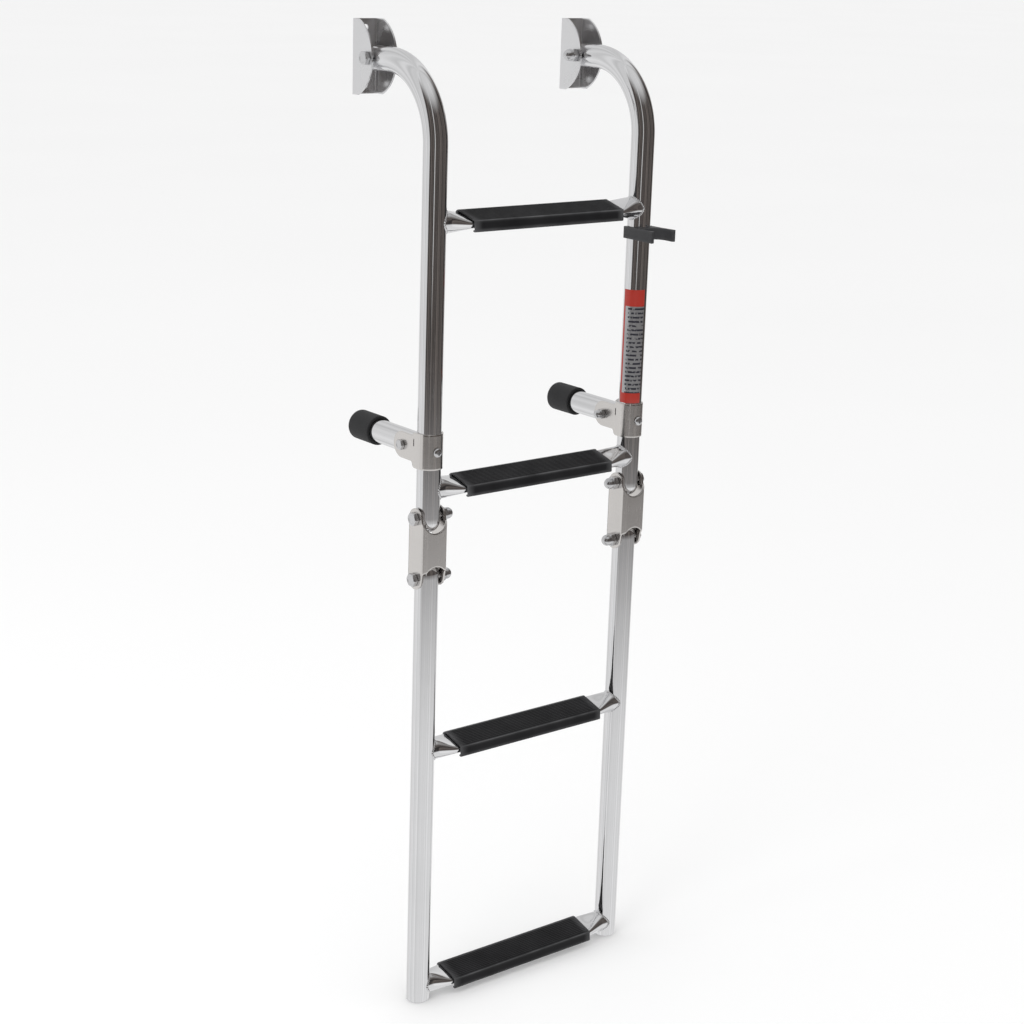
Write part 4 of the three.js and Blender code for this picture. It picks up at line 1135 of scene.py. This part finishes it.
class LADDER_OT_standoffs(bpy.types.Operator):
    """Make the stand-off tubes and their rubber caps"""

    bl_idname = "ladder.standoffs"
    bl_label = "Stand-offs"

    def execute(self, context):
        sizes = context.scene.ladder_sizes
        for side in SIDES:
            body = f"{side}_standoff_arm"
            settle(standoff_tube(side, sizes), "tube", "polished_steel", body, f"{side}_standoff")
            settle(rubber_cap(side, sizes), "rubber", "cap_rubber", body, f"{side}_standoff_cap")
        return {"FINISHED"}


# ---------------------------------------------------------------- fasteners

HEX_STEPS = 96


def cross_part(side, part):
    """Outer seat, inward direction, length and width of a bolt or nut that lies along X."""
    low, high = span(f"{side}_{part}")
    outer, sign = (low[0], 1.0) if side == "left" else (high[0], -1.0)
    seat = np.array([outer, (low[1] + high[1]) / 2, (low[2] + high[2]) / 2])
    return seat, (sign, 0.0, 0.0), high[0] - low[0], high[2] - low[2]


def hexed_piece(name, seat, inward, s, rings):
    """Turned piece whose rings are round, where a number is given, or have six sides."""
    radius = np.array([np.broadcast_to(ring, HEX_STEPS) for ring in rings])
    return turned(name, seat, inward, s, radius, HEX_STEPS, crease=28.0)


def hex_bolt(side, which, shank):
    """Hexagon bolt: each ring's radius is the smaller of the hexagon and a chamfer cone."""
    seat, inward, length, flats = cross_part(side, f"{which}_bolt")
    head = 5 * MM if flats > 12 * MM else 3.8 * MM
    shape = np.roll(hexagon(HEX_STEPS, flats), HEX_STEPS // 12)
    rise = np.array([0, 0, 0.12, 0.3, 0.6, 1.1, 1.8, 2.4]) * MM
    cone = flats / 2 * 0.94 + rise * 1.75
    s = [[0.25 * MM, 0.25 * MM], rise, [head - 0.2 * MM, head, head, length - 1 * MM, length]]
    rings = [0.5 * MM, flats * 0.33, flats * 0.36, *(np.minimum(shape, c) for c in cone[1:])]
    rings += [shape, shape - 0.2 * MM, shank, shank, shank - 1 * MM]
    return hexed_piece(f"{side}_{which}_hex_bolt", seat, inward, np.concatenate(s), rings)


def acorn_nut(side, which, shank):
    """Domed cap nut: a chamfered hexagon, a short collar and a half-round dome."""
    seat, inward, length, flats = cross_part(side, f"{which}_nut")
    shape = np.roll(hexagon(HEX_STEPS, flats), HEX_STEPS // 12)
    dome, hexed = flats * 0.48, flats * 0.5
    bore = shank + 0.3 * MM
    a = np.linspace(0, math.pi / 2 - 0.08, 14)
    drop = np.array([2.2, 1.4, 0.9, 0.5, 0.2, 0.0]) * MM
    s = [flats * 0.6, flats * 0.6, 0.4 * MM, 0.0, 0.0, 0.25 * MM, *(hexed - drop)]
    s += [hexed + 0.1 * MM, *(length - dome + dome * np.sin(a))]
    rings = [0.3 * MM, bore, bore, bore + 0.4 * MM, flats * 0.47, shape]
    rings += [np.minimum(shape, flats / 2 * 0.95 + d * 1.6) for d in drop]
    rings += [dome, *(dome * np.cos(a))]
    return hexed_piece(f"{side}_{which}_acorn_nut", seat, inward, np.array(s), rings)


def clamp_screw(side):
    """Pan-head screw with a cross recess.

    The head's surface is a flattened dome over the disc, and it falls by the recess depth
    wherever the smaller of |x| and |z| is under half a blade, out to the blade's length.
    """
    centre, radius, length = front_of(side, "clamp_screw")
    steps, head, recess = 160, 3 * MM, 1.7 * MM
    half_blade, blade_reach = 0.85 * MM, 2.7 * MM
    angle = round_angles(steps)
    share = np.linspace(0.03, 1, 44)
    reach = share[:, None] * radius
    x, z = reach * np.cos(angle), reach * np.sin(angle)
    dome = head * 0.8 * (1 - (1 - share[:, None] ** 3.2) ** 0.5)
    blade = np.minimum(abs(x), abs(z))
    out = np.maximum(abs(x), abs(z))
    cut = np.clip((half_blade - blade) / (0.25 * MM), 0, 1)
    cut = cut * np.clip((blade_reach - out) / (0.8 * MM), 0, 1)
    y = dome + recess * cut
    top = np.stack([centre[0] + x, centre[1] + y, centre[2] + z], -1)
    tail_s = np.array([head, head, length - 1 * MM, length])
    tail_r = np.array([radius, 2.5 * MM, 2.5 * MM, 1.6 * MM])
    x, z = tail_r[:, None] * np.cos(angle), tail_r[:, None] * np.sin(angle)
    y = np.broadcast_to(tail_s[:, None], x.shape)
    tail = np.stack([centre[0] + x, centre[1] + y, centre[2] + z], -1)
    points = np.vstack([top, tail])
    poles = (centre + np.array([0, recess, 0]), centre + np.array([0, length, 0]))
    along = np.concatenate([share * radius, radius + tail_s])
    around = round_lengths(steps, radius)
    return grid(f"{side}_pan_screw", points, along, around, poles=poles, crease=50.0)


class LADDER_OT_fasteners(bpy.types.Operator):
    """Make the hexagon bolts, acorn nuts and clamp screws"""

    bl_idname = "ladder.fasteners"
    bl_label = "Bolts, nuts and screws"

    def execute(self, context):
        kinds = (("bracket", "brackets", 4 * MM), ("standoff", "upper_section", 3 * MM))
        kinds += (("upper_hinge", "{}_link", 4 * MM), ("lower_hinge", "{}_link", 4 * MM))
        for side in SIDES:
            for which, body, shank in kinds:
                body = body.format(side)
                settle(hex_bolt(side, which, shank), "bolt", "fastener_steel", body, f"{side}_{which}_bolt")
                settle(acorn_nut(side, which, shank), "bolt", "fastener_steel", body, f"{side}_{which}_nut")
            settle(clamp_screw(side), "bolt", "fastener_steel", "upper_section", f"{side}_clamp_screw")
        return {"FINISHED"}


# ---------------------------------------------------------------- clip and sticker


def clip_outline(low, high):
    """Plan of the clip as a closed outline about the rail: half of it, mirrored, and a bore.

    Going round: the right wall from the rail's back to the hooked tip, the half-round jaw
    of the front mouth, the left wall back again, and the ring that grips the rail.
    """
    back, front = high[1] - RAIL_Y, low[1] - RAIL_Y
    grip, flare, jaw = 15.4 * MM, (high[0] - low[0]) / 2, 13.4 * MM
    bore, bridge = RAIL_R + 0.15 * MM, -(RAIL_R + 3.3 * MM)
    ring = arc_points((0, 0), bore, math.pi / 2 + 0.9, 2.5 * math.pi - 0.9, 60)
    lip_x = -ring[0][0]
    shoulder = np.array(
        [(lip_x + 1.2 * MM, back), (grip - 1.5 * MM, back), (grip - 0.4 * MM, back - 0.5 * MM)]
    )
    wall = np.array(
        [
            (grip, back - 1.5 * MM),
            (grip, -RAIL_R),
            (grip + 0.3 * MM, -24 * MM),
            (flare, front + 2 * MM),
            (flare - 0.3 * MM, front + 0.4 * MM),
            (flare - 1.2 * MM, front),
            (flare - 2.8 * MM, front),
            (13.3 * MM, front + 0.8 * MM),
            (13.1 * MM, front + 3.2 * MM),
            (jaw, front + 4.5 * MM),
        ]
    )
    mouth = arc_points((0, bridge - jaw), jaw, 0, math.pi, 30)
    mirror = np.array([-1, 1])
    return np.vstack([shoulder, wall, mouth, wall[::-1] * mirror, shoulder[::-1] * mirror, ring])


class LADDER_OT_clip(bpy.types.Operator):
    """Make the moulded storage clip on the right rail"""

    bl_idname = "ladder.clip"
    bl_label = "Storage clip"

    def execute(self, context):
        low, high = span("storage_clip")
        outline = clip_outline(low, high)

        def place(section, z):
            x, y = section[..., 0] + RAIL_X["right"], section[..., 1] + RAIL_Y
            return np.stack([x, y, np.broadcast_to(z, x.shape)], -1)

        stations, inset = rounded_ends(low[2], high[2], 0.5 * MM, 6)
        # The clip is a little lighter all over, and more so within a millimetre of its top and bottom.
        edge = np.maximum(0, 1 - np.minimum(stations - low[2], high[2] - stations) / (1.0 * MM))
        wear = np.broadcast_to(0.12 + 0.4 * edge[:, None], (len(stations), len(outline)))
        clip = carried("rail_clip", outline, stations, inset, place, wear=wear)
        settle(clip, "clip", "clip_plastic", "upper_section", "storage_clip")
        return {"FINISHED"}


class LADDER_OT_sticker(bpy.types.Operator):
    """Make the plain banded sticker on the right rail"""

    bl_idname = "ladder.sticker"
    bl_label = "Sticker"

    def execute(self, context):
        low, high = span("rail_label")
        thickness = 0.16 * MM
        radius = RAIL_R + 0.03 * MM + thickness / 2
        start, end = math.radians(-197), math.radians(-79)
        plan = arc_points((0, 0), radius, start, end, 61)
        top, bottom = np.zeros(len(plan)), np.full(len(plan), low[2] - high[2])
        origin = (RAIL_X["right"], RAIL_Y, high[2])
        edge, levels = 0.05 * MM, np.linspace(0, 1, 20)
        film = folded_sheet("rail_sticker", origin, plan, top, bottom, thickness, edge, levels)
        settle(film, "sticker", "label_film", "upper_section", "rail_label")
        return {"FINISHED"}


# ---------------------------------------------------------------- stage


def studio_world(stage):
    """Soft white room whose front is dark, so that upright tubes show dark streaks.

    The share of dark is high where a direction points to the ladder's front and lies near
    the horizon, and a narrow strip in it is pale. Only reflections see it; the backdrop is
    one pale colour.
    """
    world = bpy.data.worlds.new("studio")
    world.use_nodes = True
    tree = world.node_tree
    tree.nodes.clear()
    way = node(tree, "ShaderNodeTexCoord").outputs["Generated"]
    parts = node(tree, "ShaderNodeSeparateXYZ", {0: way}).outputs
    work_out = arithmetic(tree)

    def ramp(value, low, high, to_low=0.0, to_high=1.0):
        """Eases a value from low to high over to the range from to_low to to_high."""
        values = {"Value": value, "From Min": low, "From Max": high, "To Min": to_low, "To Max": to_high}
        return node(tree, "ShaderNodeMapRange", values, interpolation_type="SMOOTHSTEP").outputs[0]

    def streaks(scale, detail):
        """Noise along the bearing, which is the same from the floor up."""
        values = {"Scale": scale, "Detail": detail, "W": bearing}
        return node(tree, "ShaderNodeTexNoise", values, noise_dimensions="1D").outputs["Fac"]

    up = parts[2]
    bearing = work_out("ARCTAN2", parts[1], parts[0])
    dark_axis, strip_axis = math.radians(-79.3), math.radians(-129.3)
    turn = {0: work_out("SUBTRACT", bearing, dark_axis), 1: math.pi, 2: -math.pi}
    off = work_out("ABSOLUTE", node(tree, "ShaderNodeMath", turn, operation="WRAP").outputs[0])
    in_front = ramp(off, math.radians(104), math.radians(98))
    below, above = ramp(up, -0.40, -0.20), ramp(up, 0.92, 0.5)
    dark = work_out("MULTIPLY", in_front, work_out("MULTIPLY", below, above))
    strip = work_out("ABSOLUTE", work_out("SUBTRACT", bearing, strip_axis))
    strip = ramp(strip, math.radians(4.5), math.radians(2.0))
    strip = work_out("MULTIPLY", strip, ramp(up, -0.2, -0.14))
    dark = work_out("MULTIPLY", dark, work_out("SUBTRACT", 1.0, work_out("MULTIPLY", strip, 0.8)))
    tones = work_out("MULTIPLY", streaks(2.6, 2.0), spread(tree, streaks(8.5, 2.0), 0.55, 1.45))
    shade = blend_colours(tree, spread(tree, tones, 0.0, 1.0), (0.012, 0.012, 0.014), (0.19, 0.165, 0.15))
    glow = work_out("MULTIPLY", ramp(up, -0.5, 0.3, 0.9, 0.78), spread(tree, streaks(3.1, 1.0), 0.78, 1.08))
    bright = node(tree, "ShaderNodeCombineColor", {0: glow, 1: glow, 2: glow}).outputs[0]
    seen = blend_colours(tree, dark, bright, shade)
    rays = node(tree, "ShaderNodeLightPath").outputs
    light = blend_colours(tree, rays["Is Glossy Ray"], (1.0, 1.0, 1.0), seen)
    light = blend_colours(tree, rays["Is Camera Ray"], light, tuple(stage.backdrop))
    background = node(tree, "ShaderNodeBackground", {"Color": light, "Strength": 1.0})
    output = node(tree, "ShaderNodeOutputWorld")
    tree.links.new(background.outputs[0], output.inputs[0])
    return world


def aimed(obj, right, up, back, place):
    """Turns and moves a lamp or camera by its own right, up and back directions."""
    turn = np.eye(4)
    turn[:3, 0], turn[:3, 1], turn[:3, 2], turn[:3, 3] = right, up, back, place
    obj.matrix_world = turn.T.tolist()
    bpy.context.scene.collection.objects.link(obj)


def soft_light(name, place, size, power):
    """Square area lamp aimed at the middle of the ladder."""
    lamp = bpy.data.lights.new(name, "AREA")
    lamp.size = size
    lamp.energy = power
    obj = bpy.data.objects.new(name, lamp)
    aim = np.array([0.0, RAIL_Y, -0.5]) - np.array(place)
    aim /= np.linalg.norm(aim)
    right = np.cross(aim, [0, 0, 1.0])
    right /= np.linalg.norm(right)
    obj.visible_glossy = False
    aimed(obj, right, np.cross(right, aim), -aim, place)


def pale_floor(colour_of_floor):
    """One wide square under the ladder's feet, so wide that its edge isn't seen."""
    half, level = 300.0, FOOT_Z - 0.5 * MM
    corners = [(-half, -half, level), (half, -half, level), (half, half, level), (-half, half, level)]
    mesh = bpy.data.meshes.new("floor")
    mesh.from_pydata(corners, [], [(0, 1, 2, 3)])
    floor = bpy.data.objects.new("floor", mesh)
    bpy.context.scene.collection.objects.link(floor)
    made, tree, shader = new_material("pale floor")
    place = node(tree, "ShaderNodeTexCoord").outputs["Object"]
    cloud = noise(tree, place, 0.7, 2.0)
    pale = np.array(colour_of_floor)
    tone = blend_colours(tree, spread(tree, cloud, 0.0, 1.0), tuple(pale * 0.99), tuple(pale))
    tree.links.new(tone, shader.inputs["Base Color"])
    shader.inputs["Roughness"].default_value = 0.9
    shader.inputs["Specular IOR Level"].default_value = 0.1
    mesh.materials.append(made)
    floor.visible_glossy = False


def front_camera(stage):
    """Camera at the stage's place, which looks along the stage's azimuth and elevation."""
    camera = bpy.data.cameras.new("camera")
    camera.sensor_width = 36.0
    camera.lens = stage.lens
    camera.clip_end = 1000.0
    obj = bpy.data.objects.new("camera", camera)
    az, el, roll = stage.azimuth, stage.elevation, stage.roll
    back = np.array([math.sin(az) * math.cos(el), -math.cos(az) * math.cos(el), math.sin(el)])
    right = np.cross(-back, [0, 0, 1.0])
    right /= np.linalg.norm(right)
    up = np.cross(back, right)
    across = right * math.cos(roll) + up * math.sin(roll)
    aimed(obj, across, up * math.cos(roll) - right * math.sin(roll), back, tuple(stage.place))
    bpy.context.scene.camera = obj


class LADDER_OT_stage(bpy.types.Operator):
    """Make the pale floor, the soft studio light and the camera"""

    bl_idname = "ladder.stage"
    bl_label = "Floor, light and camera"

    def execute(self, context):
        stage = context.scene.ladder_stage
        pale_floor(stage.floor)
        context.scene.world = studio_world(stage)
        soft_light("key", (-2.6, -0.6, 1.6), 2.0, 26.0)
        context.scene.view_settings.view_transform = "Standard"
        front_camera(stage)
        return {"FINISHED"}


# ---------------------------------------------------------------- panel and run


class LADDER_PT_panel(bpy.types.Panel):
    """Settings and steps of the ladder's finish"""

    bl_idname = "LADDER_PT_panel"
    bl_label = "Boarding ladder"
    bl_space_type = "VIEW_3D"
    bl_region_type = "UI"
    bl_category = "Ladder"

    def draw(self, context):
        scene = context.scene
        for title, group in (
            ("Sizes", scene.ladder_sizes),
            ("Finishes", scene.ladder_finishes),
            ("Stage", scene.ladder_stage),
        ):
            box = self.layout.box()
            box.label(text=title)
            for key in group.__annotations__:
                box.prop(group, key)
        column = self.layout.column(align=True)
        for operator in OPERATORS:
            column.operator(operator.bl_idname)


OPERATORS = (
    LADDER_OT_stage,
    LADDER_OT_rails,
    LADDER_OT_step_tubes,
    LADDER_OT_treads,
    LADDER_OT_brackets,
    LADDER_OT_hinge_links,
    LADDER_OT_clamps,
    LADDER_OT_standoffs,
    LADDER_OT_fasteners,
    LADDER_OT_clip,
    LADDER_OT_sticker,
)
GROUPS = (
    ("ladder_sizes", LadderSizes),
    ("ladder_finishes", LadderFinishes),
    ("ladder_stage", LadderStage),
)


def register():
    """Registers the settings, the operators and the panel."""
    for key, group in GROUPS:
        bpy.utils.register_class(group)
        setattr(bpy.types.Scene, key, bpy.props.PointerProperty(type=group))
    for operator in OPERATORS:
        bpy.utils.register_class(operator)
    bpy.utils.register_class(LADDER_PT_panel)


def unregister():
    """Takes away what register added."""
    bpy.utils.unregister_class(LADDER_PT_panel)
    for operator in reversed(OPERATORS):
        bpy.utils.unregister_class(operator)
    for key, group in reversed(GROUPS):
        delattr(bpy.types.Scene, key)
        bpy.utils.unregister_class(group)


def main():
    """Registers the add-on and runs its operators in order."""
    register()
    for operator in OPERATORS:
        area, name = operator.bl_idname.split(".")
        getattr(getattr(bpy.ops, area), name)()


if __name__ == "__main__":
    main()
